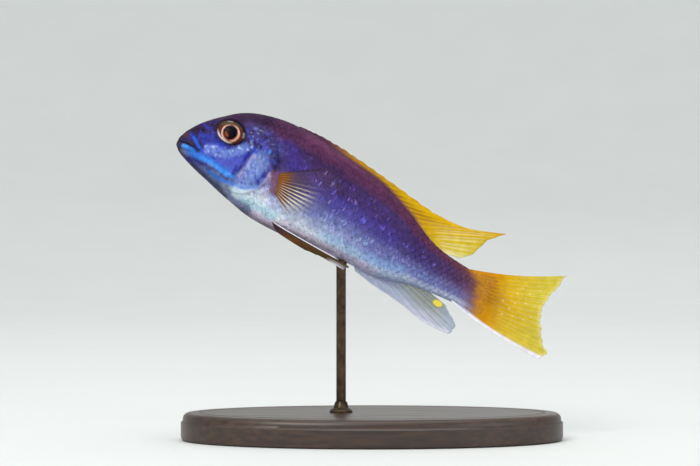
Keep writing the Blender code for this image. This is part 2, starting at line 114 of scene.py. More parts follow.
def cloud(along, height, size, seed):
    # Smooth seeded unevenness from -1 to 1, with grains of a size in millimetres
    count = 97
    grid = np.random.default_rng(seed).uniform(-1, 1, (count, count))
    column, row = np.floor(along / size).astype(int), np.floor(height / size).astype(int)
    x, y = ease(along / size - column), ease(height / size - row)

    def corner(right, up):
        return grid[(row + up) % count, (column + right) % count]

    lower = corner(0, 0) * (1 - x) + corner(1, 0) * x
    upper = corner(0, 1) * (1 - x) + corner(1, 1) * x
    return lower * (1 - y) + upper * y


# Lines and the body's form

def smoothLine(points, steps=10):         # closely spaced points on a rounded line
    spots = [Vector((*point, 0.0)) if len(point) == 2 else Vector(point) for point in points]
    slopes = []
    for index in range(len(spots)):
        before = spots[max(index - 1, 0)]
        after = spots[min(index + 1, len(spots) - 1)]
        slopes.append((after - before).normalized())
    line = [spots[0]]
    for index in range(len(spots) - 1):
        start, end = spots[index], spots[index + 1]
        reach = (end - start).length / 3
        handles = (start + slopes[index] * reach, end - slopes[index + 1] * reach)
        line += interpolate_bezier(start, *handles, end, steps)[1:]
    return np.array([tuple(point) for point in line])


def pointsOn(line, share):
    lengths = np.concatenate([[0.0], np.cumsum(np.linalg.norm(np.diff(line, axis=0), axis=1))])
    where = np.clip(share, 0.0, 1.0) * lengths[-1]
    return np.stack([np.interp(where, lengths, line[:, axis]) for axis in range(3)], -1)


def fromLine(line, along, height):
    # Distance to the line as seen from the side, which side of it, and how far along it
    starts = line[:-1, :2]
    spans = line[1:, :2] - starts
    lengths = np.linalg.norm(spans, axis=1)
    offset = np.stack([along, height], -1)[:, None, :] - starts[None]
    part = np.clip((offset * spans).sum(-1) / lengths ** 2, 0.0, 1.0)
    apart = np.linalg.norm(offset - part[..., None] * spans, axis=-1)
    best = apart.argmin(1)
    rows = np.arange(len(best))
    cross = spans[best, 0] * offset[rows, best, 1] - spans[best, 1] * offset[rows, best, 0]
    run = np.concatenate([[0.0], np.cumsum(lengths)])
    share = (run[best] + part[rows, best] * lengths[best]) / run[-1]
    return apart[rows, best], np.sign(cross), share


def within(outline, along, height):
    start, end = outline[:-1, :2], outline[1:, :2]
    a, h = along[:, None], height[:, None]
    spans = (start[None, :, 1] > h) != (end[None, :, 1] > h)
    rise = np.where(np.abs(end[:, 1] - start[:, 1]) < 1e-9, 1e-9, end[:, 1] - start[:, 1])
    edge = (end[:, 0] - start[:, 0]) * (h - start[:, 1]) / rise + start[:, 0]
    return (spans & (a < edge)).sum(1) % 2 == 1


def bodySizes(along):                     # back, belly and half width
    last = len(bodyTable) - 1
    along = np.clip(along, 0.0, bodyTable[-1, 0])
    index = np.clip(np.searchsorted(bodyTable[1:, 0], along), 0, last - 1)
    here, there = bodyTable[index], bodyTable[index + 1]
    before, after = bodyTable[np.maximum(index - 1, 0)], bodyTable[np.minimum(index + 2, last)]
    span = there[:, 0] - here[:, 0]
    t = (along - here[:, 0]) / span
    sizes = []
    for k in (1, 2, 3):
        startSlope = (there[:, k] - before[:, k]) / (there[:, 0] - before[:, 0]) * span
        endSlope = (after[:, k] - here[:, k]) / (after[:, 0] - here[:, 0]) * span
        bend = here[:, k] * (2 * t**3 - 3 * t**2 + 1) + there[:, k] * (3 * t**2 - 2 * t**3)
        sizes.append(bend + startSlope * (t**3 - 2 * t**2 + t) + endSlope * (t**3 - t**2))
    return sizes


def section(along, climb, side):          # climb is 90 degrees on the back and -90 on the belly
    back, belly, half = bodySizes(along)
    waist = belly + body["waist"] * (back - belly)
    rise, out = np.sin(climb), np.cos(climb)
    reach = np.where(rise > 0, back - waist, waist - belly)
    width = half * np.abs(out) ** body["fullness"] * np.sign(out) * side
    return np.stack([along, width, waist + rise * reach], -1)


def flankAt(along, height, side, lift=0.0):    # a point on the flank by its height
    along, height = np.atleast_1d(along).astype(float), np.atleast_1d(height).astype(float)

    def halfAt(a, h):
        back, belly, half = bodySizes(a)
        waist = belly + body["waist"] * (back - belly)
        reach = np.where(h > waist, back - waist, waist - belly)
        rise = np.clip(np.abs(h - waist) / reach, 0.0, 1.0)
        return half * np.sqrt(1 - rise**2) ** body["fullness"]

    step = 0.05
    slopeAlong = (halfAt(along + step, height) - halfAt(along - step, height)) / (2 * step)
    slopeUp = (halfAt(along, height + step) - halfAt(along, height - step)) / (2 * step)
    normal = np.stack([-slopeAlong, np.ones_like(along), -slopeUp], -1)
    normal /= np.linalg.norm(normal, axis=1)[:, None]
    spot = np.stack([along, halfAt(along, height), height], -1) + normal * lift
    return spot * np.array([1.0, side, 1.0])


# Forms of the head, all as seen from the side

head = {
    "mouth": [(-1.0, 0.75), (0.1, 0.8), (3.4, 1.15), (6.8, 1.0)],
    "mouthDepth": 0.42,
    "mouthWidth": 0.17,
    "upperFold": [(-0.5, 5.2), (1.2, 4.9), (2.7, 4.3), (4.6, 3.2), (7.0, 1.5)],
    "lowerFold": [(-0.5, -1.3), (1.5, -1.25), (3.6, -0.75), (5.4, 0.0), (7.0, 0.8)],
    "lipBulge": (0.3, 0.34),              # upper and lower
    "foldDepth": 0.24,
    "folds": [("upperFold", 1.0, 0.3), ("lowerFold", 0.8, 0.3), ("throatFold", 0.9, 0.0),
              ("jawFold", 0.7, 0.0)],     # depth, and where each starts
    "nostril": (5.1, 6.6),
    "nostrilSize": 0.42,
    "nostrilDepth": 0.55,
    "nostrilRim": 0.14,
    "eye": (12.75, 9.75),
    "eyeHalf": (4.45, 3.6),
    "socketDepth": 1.5,
    "orbitRim": 0.16,
    "orbitGroove": 0.06,
    "pores": {"first": 195, "step": 26, "count": 6, "ring": (1.48, 1.42), "depth": 0.16,
              "size": 0.28},              # of the line below the eye, in degrees round it
    "cheekEdge": [(19.6, 9.4), (20.4, 8.2), (20.7, 5.6), (20.6, 3.4), (20.3, 1.4), (19.6, -0.7),
                  (18.2, -2.3), (15.4, -3.1), (11.4, -3.2)],
    "cheekLift": 0.24,
    "cheekGroove": 0.12,
    "coverBone": [(26.9, 5.0), (26.6, 7.6), (25.2, 9.4), (22.6, 9.9), (20.6, 8.4), (20.2, 4.0),
                  (19.6, 0.4), (18.4, -2.2), (20.8, -3.5), (23.2, -2.6), (25.4, -0.8),
                  (26.6, 2.0), (26.9, 5.0)],
    "coverBoneLift": 0.22,
    "coverEdge": [(28.9, 5.0), (28.0, 9.0), (25.0, 10.7), (21.6, 9.8), (20.4, 6.0), (20.1, 1.6),
                  (18.6, -1.8), (17.4, -4.4), (21.0, -5.4), (25.0, -3.6), (27.8, 0.4),
                  (28.9, 5.0)],
    "coverLift": 0.3,
    "slitDepth": 0.28,
    "throatFold": [(8.6, -3.3), (11.5, -4.7), (15.0, -5.5), (18.6, -5.9), (21.5, -6.3)],
    "jawFold": [(6.9, 0.7), (8.3, -0.6), (9.4, -2.4), (9.9, -4.2)],
    "finPad": (30.7, 2.2),                # the fleshy root of the breast fin
    "finPadHalf": (1.5, 3.9),
    "finPadTilt": 23.0,
    "finPadLift": 0.4,
    "underEye": [(9.2, 2.6), (12.0, 3.0), (14.9, 4.1), (17.3, 6.3), (19.0, 8.2)],
}
for lineName, line in head.items():
    if isinstance(line, list) and lineName != "folds":
        head[lineName] = smoothLine(line, 6 if lineName.startswith("cover") else 8)


def eyeShare(along, height):              # 1 on the eye's edge
    return np.hypot((along - head["eye"][0]) / head["eyeHalf"][0],
                    (height - head["eye"][1]) / head["eyeHalf"][1])


def padShare(along, height):
    tilt = math.radians(head["finPadTilt"])
    right, up = along - head["finPad"][0], height - head["finPad"][1]
    return np.hypot((right * math.cos(tilt) + up * math.sin(tilt)) / head["finPadHalf"][0],
                    (up * math.cos(tilt) - right * math.sin(tilt)) / head["finPadHalf"][1])


def depthIn(outline, along, height):      # how far inside an outline, negative outside
    gap, _, _ = fromLine(outline, along, height)
    return np.where(within(outline, along, height), gap, -gap)


def relief(along, height):                # how far the skin stands out of the plain body
    lift = np.zeros_like(along)
    near = along < body["headEnd"]
    a, h = along[near], height[near]
    made = np.zeros_like(a)

    mouthLevel, upper, lower = [np.interp(a, head[name][:, 0], head[name][:, 1])
                                for name in ("mouth", "upperFold", "lowerFold")]
    before = ease((7.4 - a) / 1.4)        # fades out behind the corner of the mouth
    front = 0.3 + 0.7 * ease((a - 0.2) / 2.0)           # and lower at the tip of the snout
    for rise, reach, bulge, crown in ((h - mouthLevel, upper - mouthLevel, head["lipBulge"][0], 0.6),
                                      (mouthLevel - h, mouthLevel - lower, head["lipBulge"][1], 0.8)):
        share = np.clip(rise / np.maximum(reach, 0.3), 0.0, 1.0)
        made += bulge * (4 * share * (1 - share)) ** crown * before * front
    parted = 0.15 + 0.85 * ease((a - 0.1) / 1.6)        # the lips meet in front
    made -= head["mouthDepth"] * hump(h - mouthLevel, head["mouthWidth"]) * before * parted
    for fold, depth, start in head["folds"]:
        gap, _, share = fromLine(head[fold], a, h)
        ends = ease(5 * (1.0 - share) + 0.3) * ease((share - start) * 4 + 0.15)
        made -= head["foldDepth"] * depth * hump(gap, 0.26) * ends

    hole = np.hypot(a - head["nostril"][0], h - head["nostril"][1]) / head["nostrilSize"]
    made += head["nostrilRim"] * hump(hole - 1.45, 0.45) - head["nostrilDepth"] * hump(hole, 0.75)

    eye = eyeShare(a, h)
    made -= head["socketDepth"] * ease((1.0 - eye) / 0.12)
    made += head["orbitRim"] * hump(eye - 1.06, 0.07) - head["orbitGroove"] * hump(eye - 1.24, 0.07)
    pores = head["pores"]
    for index in range(pores["count"]):
        angle = math.radians(pores["first"] + pores["step"] * index)
        poreAlong = head["eye"][0] + pores["ring"][0] * head["eyeHalf"][0] * math.cos(angle)
        poreHeight = head["eye"][1] + pores["ring"][1] * head["eyeHalf"][1] * math.sin(angle)
        made -= pores["depth"] * hump(np.hypot(a - poreAlong, h - poreHeight), pores["size"])

    gap, sign, share = fromLine(head["cheekEdge"], a, h)
    ends = ease(6 * share) * ease(6 * (1 - share))
    made += head["cheekLift"] * np.where(sign < 0, np.exp(-gap / 1.8), np.exp(-gap / 0.12)) * ends
    made -= head["cheekGroove"] * np.where(sign > 0, hump(gap - 0.35, 0.3), 0.0) * ends

    rearward = ease((a - 18.5) / 4.0)
    inside = depthIn(head["coverEdge"], a, h)
    made += head["coverLift"] * ease((inside + 0.1) / 0.3) * rearward
    made -= head["slitDepth"] * hump(inside + 0.5, 0.35) * rearward * (inside < 0.05)
    inside = depthIn(head["coverBone"], a, h)
    made += head["coverBoneLift"] * ease((inside + 0.15) / 0.45) * ease((a - 20.6) / 2.0)
    made += head["finPadLift"] * ease((1.12 - padShare(a, h)) / 0.35)
    lift[near] = made
    return lift


def skinAt(along, climb, side, lift):
    # Points over the skin, by the body's form, the head's relief and a lift along the normal
    spot = section(along, climb, side)
    step = 0.02
    tangent = section(along + step, climb, side) - section(along - step, climb, side)
    upward = section(along, climb + step, side) - section(along, climb - step, side)
    normal = np.cross(upward, tangent) * side
    normal /= np.linalg.norm(normal, axis=1)[:, None] + 1e-12
    return spot + normal * (relief(along, spot[:, 2]) + lift)[:, None]


# Markings, painted shade and painted highlights, the same for the skin and for the scales

tones = {
    "ridge": "#5a3450", "plum": "#522c4c", "magenta": "#643655", "violet": "#413060",
    "blueViolet": "#565192", "lowBlue": "#6f77ae", "lavender": "#aeb6d2", "silver": "#ccd6de",
    "underside": "#98929f", "shimmer": "#86b4e0", "shoulder": "#43389a", "headTop": "#2c1c38",
    "headBlue": "#20257a", "royal": "#2d39a2", "cheek": "#4f57b4", "gill": "#566cb4",
    "gillPale": "#7e96cc", "throat": "#a6cde2", "cyan": "#1a72dc", "cyanPale": "#3f9cf4",
    "lip": "#33283e", "lipBrown": "#573c3a", "pale": "#88a2dc", "fleck": "#b8cff0",
    "bright": "#4358dc", "dark": "#1d1830", "pad": "#74494a", "ember": "#70443c",
    "orange": "#bb7f1b", "stalkLow": "#939fc0", "paintedRimLight": "#d5d2e2", "dusk": "#4a4278",
    "jaw": "#36356c", "blush": "#b9abc4", "deep": "#39264d", "gillShade": "#6d7096",
    "midBlue": "#686aa3", "jawPale": "#56668a",
}
tones = {name: paintOf(code) for name, code in tones.items()}

flankBands = [                            # share of the depth, then front and rear tones
    (0.0, "underside", "stalkLow"), (0.05, "blush", "stalkLow"), (0.12, "silver", "lavender"),
    (0.22, "lavender", "lowBlue"), (0.34, "lowBlue", "midBlue"), (0.49, "blueViolet", "dusk"),
    (0.62, "violet", "violet"), (0.79, "deep", "violet"), (0.87, "plum", "plum"),
    (0.91, "plum", "plum"), (0.96, "magenta", "ridge"), (1.0, "ridge", "ridge")]

headWashes = [                            # tone, strength, width, softness, line it follows
    ("shoulder", 0.36, 1.2, 2.6, [(28.5, 13.0), (35.0, 9.2), (44.0, 5.8), (56.0, 4.6), (68.0, 3.4)]),
    ("shimmer", 0.45, 0.5, 2.0, [(50.0, -4.6), (58.0, -4.9), (66.0, -4.6), (74.0, -3.5)]),
    ("blush", 0.6, 0.5, 1.7, [(38.0, -6.8), (48.0, -7.7), (58.0, -7.5), (66.0, -7.4)]),
    ("headBlue", 0.9, 1.9, 2.4, [(7.2, 3.4), (9.0, 4.4), (12.0, 4.4), (17.0, 6.6), (21.0, 9.6)]),
    ("royal", 0.85, 2.2, 2.2, [(8.5, 1.4), (13.0, 2.2), (18.0, 2.4), (19.2, 5.4)]),
    ("headTop", 0.97, 2.0, 3.6, [(0.5, 4.6), (3.0, 8.6), (8.0, 12.8), (15.0, 16.8), (19.0, 18.6)]),
    ("headTop", 0.6, 0.4, 6.5, [(20.0, 19.0), (29.0, 20.2)]),
    ("dusk", 0.7, 1.6, 2.4, [(17.5, 12.0), (22.0, 12.6), (27.0, 11.0)]),
    ("jaw", 0.95, 1.1, 1.4, [(1.0, -0.9), (5.0, -2.2), (10.0, -3.8), (15.0, -5.0)]),
    ("headBlue", 0.8, 0.5, 1.1, [(6.0, -2.0), (11.0, -2.3), (16.0, -2.6), (20.0, -3.0)]),
    ("cheek", 0.75, 1.4, 1.8, [(9.5, 2.0), (13.0, 1.4), (16.6, 1.2), (18.4, 2.6)]),
    ("gill", 0.9, 2.3, 1.3, [(23.8, 6.2), (23.6, 2.6), (22.2, -0.6)]),
    ("jawPale", 0.9, 1.2, 1.8, [(11.0, -4.2), (15.0, -5.2), (19.0, -5.9), (26.0, -7.8)]),
    ("throat", 0.85, 0.6, 1.7, [(21.5, -4.4), (24.0, -5.0), (28.0, -5.5), (34.0, -6.2)]),
    ("silver", 0.8, 1.2, 1.6, [(22.5, -4.4), (26.5, -3.0), (29.0, -3.8)]),
    ("lip", 0.97, 1.6, 1.4, [(-0.5, 2.6), (1.4, 2.9), (3.2, 2.4), (5.2, 1.8)]),
    ("lipBrown", 0.5, 0.5, 0.9, [(1.6, 3.2), (2.6, 3.2)]),
    ("lip", 0.95, 1.3, 0.8, [(-0.6, 0.2), (0.4, -0.6)]),
    # painted shade: a dark band along the underside of the jaw and throat
    ("dark", 0.8, 0.7, 1.5, [(0.6, -2.2), (3.5, -3.3), (8.0, -4.7), (15.0, -6.6), (19.0, -7.9)]),
    ("royal", 0.95, 0.32, 0.5, [(2.8, 4.2), (4.5, 3.2), (6.9, 1.6)]),
    ("cyan", 0.8, 0.1, 0.35, [(3.6, 3.7), (4.6, 3.1), (6.7, 1.8)]),
    ("cyanPale", 0.85, 0.12, 0.5, [(2.3, 0.2), (3.4, 0.3), (4.8, 0.25), (5.8, 0.3)]),
    ("cyan", 0.92, 0.22, 1.5, [(4.2, -0.2), (6.4, -0.5), (9.6, -0.4), (13.6, -0.7), (17.5, -1.2),
                               (19.0, -1.3)]),
    ("cyanPale", 0.85, 0.15, 0.8, [(8.4, -0.6), (13.6, -0.9), (17.6, -1.5), (18.8, -1.5)]),
    ("cyanPale", 0.75, 0.14, 0.6, [(2.4, 0.35), (3.6, 0.2)]),
    ("cyanPale", 0.45, 0.06, 0.5, [(3.6, 0.2), (6.4, -0.2)]),
    # painted shadow: a thin dark line under the cyan band, above the lower cyan streak
    ("dark", 0.5, 0.1, 0.4, [(6.0, -1.9), (10.0, -2.1), (14.0, -2.0), (18.0, -2.9)]),
    ("cyan", 0.85, 0.15, 0.75, [(12.0, -3.1), (14.6, -3.6), (17.4, -3.6), (19.6, -3.4),
                                (22.2, -3.0), (24.6, -2.0), (26.2, -0.8)]),
    ("royal", 0.7, 0.12, 0.6, [(4.6, 8.2), (5.8, 7.9), (7.0, 8.0)]),
    ("royal", 0.75, 0.15, 0.7, [(5.2, 4.7), (6.8, 5.5), (8.4, 6.2)]),
    ("pale", 0.5, 0.6, 1.3, head["underEye"]),
    ("gillPale", 0.5, 0.6, 1.3, [(23.6, 6.6), (24.6, 4.0), (23.8, 1.4)]),
    ("gillShade", 0.6, 0.4, 1.0, [(23.6, 6.6), (24.9, 4.6)]),
    ("blush", 0.55, 0.35, 0.7, [(20.8, -0.4), (21.1, 3.2), (21.8, 6.6)]),
    ("blush", 0.6, 0.5, 0.8, [(28.2, 3.4), (28.6, 0.4), (29.4, -2.0)]),
    ("headBlue", 0.85, 0.3, 0.8, [(20.0, 8.6), (20.3, 5.6), (20.1, 2.6), (19.0, -0.2)]),
    ("dark", 0.85, 0.6, 1.2, [(27.0, 10.0), (28.2, 8.0), (29.0, 6.2)]),
    ("headBlue", 0.85, 0.3, 0.7, [(27.2, 4.6), (26.9, 2.4), (26.2, 0.4)]),
    ("cyanPale", 0.9, 0.12, 0.5, [(25.1, 9.8), (25.3, 9.5)]),
    ("pad", 0.95, 0.9, 0.7, [(29.7, 4.8), (31.6, 0.2)]),
    # painted shade: a band along the belly's lower edge, in the lips' dark tone
    ("lip", 0.62, 0.35, 1.4, [(23.0, -9.2), (30.0, -9.9), (38.5, -10.1)]),
    # painted highlight: a white rim of light along the lower edge of the tail's stalk
    ("paintedRimLight", 0.8, 0.35, 0.7, [(91.4, -5.3), (96.0, -5.7), (101.0, -6.6)]),
]
headWashes = [(tone, strength, width, soft,
               smoothLine(line, 6) if isinstance(line, list) else line)
              for tone, strength, width, soft, line in headWashes]

markingAndPaintedLightCoats = [                          # tone, strength and where it lies, as limited reads it
    ("cheek", 0.5, ("cheekGrain", 0.25, 0.75), ("bare",), ("along", 5.0, 9.0)),
    ("headBlue", 0.55, ("headGrain", 0.3, 0.7), ("bare",)),
    ("gillPale", 0.55, ("gill", 1.1, 0.7), ("gillGrain", 0.1, 0.6)),
    ("headTop", 0.75, ("crown", 1.05, 0.55), ("crownGrain", 0.05, 0.45)),
    ("bright", 0.36, ("crown", 1.05, 0.55), ("brightGrain", 0.25, 0.65)),
    # painted highlights: pale glints behind and above the eye, in the fleck tone
    ("fleck", 0.24, ("crown", 1.05, 0.55), ("crownGlintGrain", 0.45, 0.85)),
    ("fleck", 0.75, ("underEye", 1.9, 0.8), ("fineGrain", 0.1, 0.7)),
    ("fleck", 0.35, ("lowGill", 1.1, 0.6), ("fineGrain", 0.2, 0.8)),
    ("dark", 0.6, ("eye", 1.18, 1.02)),
    # painted shade: dark in the mouth's groove and in the nostril's hole
    ("dark", 0.9, ("slit", 0.28, 0.08), ("mouth",)),
    ("dark", 1.0, ("nostril", 0.5, 0.2)),
    ("ember", 0.3, ("past", -16.0, -2.0), ("depth", 0.0, 0.5)),
    ("ember", 0.75, ("past", -5.0, 1.5), ("overBelly", 0.5, 1.0)),
    ("orange", 0.95, ("past", -1.0, 2.6), ("overBelly", 0.5, 1.0)),
    ("lipBrown", 0.5, ("streak",), ("past", 0.0, 2.0)),
]

tailEdge = {"height": [-5.0, -3.6, 0.0, 3.2, 5.6], "along": [96.6, 96.3, 95.6, 94.5, 91.6]}
tailRays = {"start": 91.0, "length": 27.0, "top": 5.7, "rise": 11.2, "depth": 10.6, "widens": 14.5,
            "gaps": 16}


def pastEdge(along, height):              # how far behind the ragged edge of the violet stalk
    ragged = 0.7 * cloud(0.16 * along, height, 0.4, 21) + 0.5 * cloud(along, height, 1.6, 22)
    return along - np.interp(height, tailEdge["height"], tailEdge["along"]) + ragged


def tailShare(along, height):             # 0 on the upper edge of the tail's rays, 1 on the lower
    out = (along - tailRays["start"]) / tailRays["length"]
    top = tailRays["top"] + tailRays["rise"] * out - np.sin(math.pi * out)
    return (top - height) / (tailRays["depth"] + tailRays["widens"] * out)


def tailStreak(past, gaps, across):       # dark between the rays, near the stalk
    return 0.6 * gaps * hump(past - 5.0, 4.0) * ease((0.7 - across) / 0.2) * ease(across / 0.12)


def markingsWithPaintedLight(along, height, side):
    back, belly, _ = bodySizes(along)
    own = along + 41.0 * side             # the two flanks don't match grain for grain

    def grain(size, seed, squeeze=1.0):
        return cloud(squeeze * own, height, size, seed)

    depth = np.clip((height - belly) / (back - belly), 0.0, 1.0)
    depth = np.clip(depth + 0.03 * grain(3.2, 1), 0.0, 1.0)
    stops = [stop for stop, _, _ in flankBands]
    frontTones = graded(depth, stops, [tones[front] for _, front, _ in flankBands])
    rearTones = graded(depth, stops, [tones[rear] for _, _, rear in flankBands])
    colours = blendTo(frontTones, rearTones, ease((along - 42.0) / 26.0))
    warp = np.stack([0.45 * grain(1.5, 2) + 0.12 * grain(0.6, 3),
                     0.4 * grain(1.4, 4) + 0.12 * grain(0.5, 5)])
    clear = np.zeros(len(along))          # where the bright streaks stay unmottled
    for tone, strength, width, soft, line in headWashes:
        close = np.abs(along - line[:, 0].mean()) < np.ptp(line[:, 0]) / 2 + width + soft + 1
        if close.any():
            stir = np.clip(soft / 1.8, 0.35, 1.0)      # narrow washes keep cleaner edges
            gap, _, _ = fromLine(line, (along + stir * warp[0])[close], (height + stir * warp[1])[close])
            mask = strength * ease((width + soft - gap) / soft)
            mask *= 0.9 + 0.1 * cloud(own[close], height[close], 0.9, 11)
            if tone.startswith("cyan"):
                mask *= 0.82 + 0.18 * cloud(0.6 * own[close], height[close], 0.4, 31)
                clear[close] = np.maximum(clear[close], mask)
            colours[close] = blendTo(colours[close], tones[tone], mask)
    past = pastEdge(along, height)
    across = tailShare(along, height)
    phase = tailRays["gaps"] * across
    gaps = ease((np.abs(phase - np.rint(phase)) - 0.12) / 0.25)
    bright = grain(0.5, 13) + 0.3 * grain(1.3, 14)
    bareHead = ease((30.0 - along) / 3.0) * (1 - clear)
    measures = {
        "along": along, "depth": depth, "past": past, "overBelly": height - belly,
        "bare": bareHead * ease((13.0 - height) / 5.0) * ease((height + 5.0) / 2.0),
        "cheekGrain": grain(0.8, 6), "headGrain": grain(0.9, 7), "gillGrain": grain(0.7, 8),
        "crownGrain": grain(1.1, 12), "brightGrain": bright,
        "crownGlintGrain": grain(0.36, 32, 0.8) + 0.35 * bright,
        "fineGrain": grain(0.45, 9, 0.6) + 0.4 * grain(1.1, 15),
        "gill": np.hypot((along - 24.0) / 3.6, (height - 3.4) / 5.4),
        "crown": np.hypot((along - 22.0) / 7.5, (height - 11.6) / 4.2),
        "lowGill": np.hypot((along - 22.8) / 2.8, (height - 1.8) / 3.6),
        "underEye": fromLine(head["underEye"], along, height)[0],
        "eye": eyeShare(along, height), "mouth": along < 7.0,
        "slit": fromLine(head["mouth"], along, height)[0],
        "nostril": np.hypot(along - head["nostril"][0], height - head["nostril"][1]),
        "streak": tailStreak(past, gaps, across)}
    return coated(colours, tones, markingAndPaintedLightCoats, measures)


def gleamAt(along, height):               # how strongly blue flecks show
    back, belly, _ = bodySizes(along)
    depth = (height - belly) / (back - belly)
    level = ease((depth - 0.12) / 0.2) * ease((0.86 - depth) / 0.22)
    return level * (0.55 + 0.45 * ease((34.0 - along) / 12.0)) * ease((90.0 - along) / 12.0)


# Meshes

def newObject(name, data):
    made = bpy.data.objects.new(name, data)
    bpy.context.scene.collection.objects.link(made)
    return made


def newPiece(name, mesh, finish, nodes=()):
    mesh.materials.append(finish)
    made = newObject(name, mesh)
    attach(made, "root")
    if nodes:
        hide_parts(*nodes)
    return made


def fishPiece(name, mesh, finishName, nodes=()):     # moved to its place in the room
    mesh.transform(fishToRoom)
    return newPiece(name, mesh, finishes[finishName], nodes)


def vertexArray(mesh):
    places = np.zeros(len(mesh.vertices) * 3)
    mesh.vertices.foreach_get("co", places)
    return places.reshape(-1, 3)


def setVertices(mesh, places):
    mesh.vertices.foreach_set("co", np.ascontiguousarray(places, dtype=np.float64).ravel())
    mesh.update()


def vertexNormals(mesh):
    mesh.update()
    normals = np.zeros(len(mesh.vertices) * 3)
    mesh.vertices.foreach_get("normal", normals)
    return normals.reshape(-1, 3)


def setPaint(mesh, colours, name="paint"):
    layer = mesh.attributes.new(name, "FLOAT_COLOR", "POINT")
    rgba = np.concatenate([np.clip(colours, 0, 1), np.ones((len(colours), 1))], 1)
    layer.data.foreach_set("color", rgba.ravel().astype(np.float32))


def setNumber(mesh, name, values):
    layer = mesh.attributes.new(name, "FLOAT", "POINT")
    layer.data.foreach_set("value", np.asarray(values, dtype=np.float32))


def meshFrom(name, shape):
    mesh = bpy.data.meshes.new(name)
    shape.to_mesh(mesh)
    shape.free()
    mesh.shade_smooth()
    return mesh


unwrap = {"corner": (0.02, 0.01), "size": (0.94, 0.96), "length": 102.0}     # on the unit square


def unwrapPlace(along, climb, side):      # the skin opened along the belly
    share = (side * (math.pi / 2 + climb) / (2 * math.pi)) + 0.5
    return np.stack([unwrap["corner"][0] + unwrap["size"][0] * along / unwrap["length"],
                     unwrap["corner"][1] + unwrap["size"][1] * share], -1)


def cornerVertices(mesh):
    corners = np.zeros(len(mesh.loops), dtype=np.int64)
    mesh.loops.foreach_get("vertex_index", corners)
    return corners


def setUnwrap(mesh, flat):
    mesh.uv_layers.new(name="OFBake").data.foreach_set("uv", flat.ravel())


# Materials

def addNode(tree, kind, inputs=(), **settings):
    made = tree.nodes.new(kind)
    for name, value in settings.items():
        setattr(made, name, value)
    for name, value in dict(inputs).items():
        socket = made.inputs[name]
        if isinstance(value, bpy.types.NodeSocket):
            tree.links.new(value, socket)
        else:
            socket.default_value = value
    return made


def noiseIn(tree, size, detail=3.0, stretch=(1, 1, 1)):
    # Noise whose grain is a size in millimetres, on object coordinates
    where = addNode(tree, "ShaderNodeTexCoord").outputs["Object"]
    scale = [1.0 / (size * millimetre * along) for along in stretch]
    mapped = addNode(tree, "ShaderNodeMapping", {"Vector": where, "Scale": scale})
    return addNode(tree, "ShaderNodeTexNoise",
                   {"Vector": mapped.outputs["Vector"], "Scale": 1.0, "Detail": detail}).outputs


def spread(tree, value, low, high, lowest, highest):
    return addNode(tree, "ShaderNodeMapRange", {
        "Value": value, "From Min": low, "From Max": high, "To Min": lowest,
        "To Max": highest}).outputs["Result"]


def product(tree, first, second):
    return addNode(tree, "ShaderNodeMath", {0: first, 1: second},
                   operation="MULTIPLY").outputs["Value"]


def distanceFrom(tree, value, centre):
    offset = addNode(tree, "ShaderNodeMath", {0: value, 1: centre}, operation="SUBTRACT")
    return addNode(tree, "ShaderNodeMath", {0: offset.outputs["Value"]},
                   operation="ABSOLUTE").outputs["Value"]


def attribute(tree, name):
    return addNode(tree, "ShaderNodeAttribute", attribute_name=name).outputs


def mixColour(tree, share, first, second, blend="MIX"):
    made = tree.nodes.new("ShaderNodeMix")
    made.data_type = "RGBA"
    made.blend_type = blend
    for socket, value in ((made.inputs[0], share), (made.inputs[6], first),
                          (made.inputs[7], second)):
        if isinstance(value, bpy.types.NodeSocket):
            tree.links.new(value, socket)
        else:
            socket.default_value = value
    return made.outputs[2]


def newMaterial(name):
    made = bpy.data.materials.new(name)
    made.use_nodes = True
    return made, made.node_tree, made.node_tree.nodes["Principled BSDF"]


def setConstants(shader, look):
    for name, value in look["shader"].items():
        shader.inputs[name].default_value = value


def greyOf(tree, value):
    return addNode(tree, "ShaderNodeCombineColor", {
        name: value for name in ("Red", "Green", "Blue")}).outputs["Color"]


def colourOf(code):
    return (*paintOf(code), 1.0)


def addBump(tree, shader, grain, strength, depth):
    bump = addNode(tree, "ShaderNodeBump", {
        "Height": grain, "Strength": strength, "Distance": depth * millimetre})
    tree.links.new(bump.outputs["Normal"], shader.inputs["Normal"])


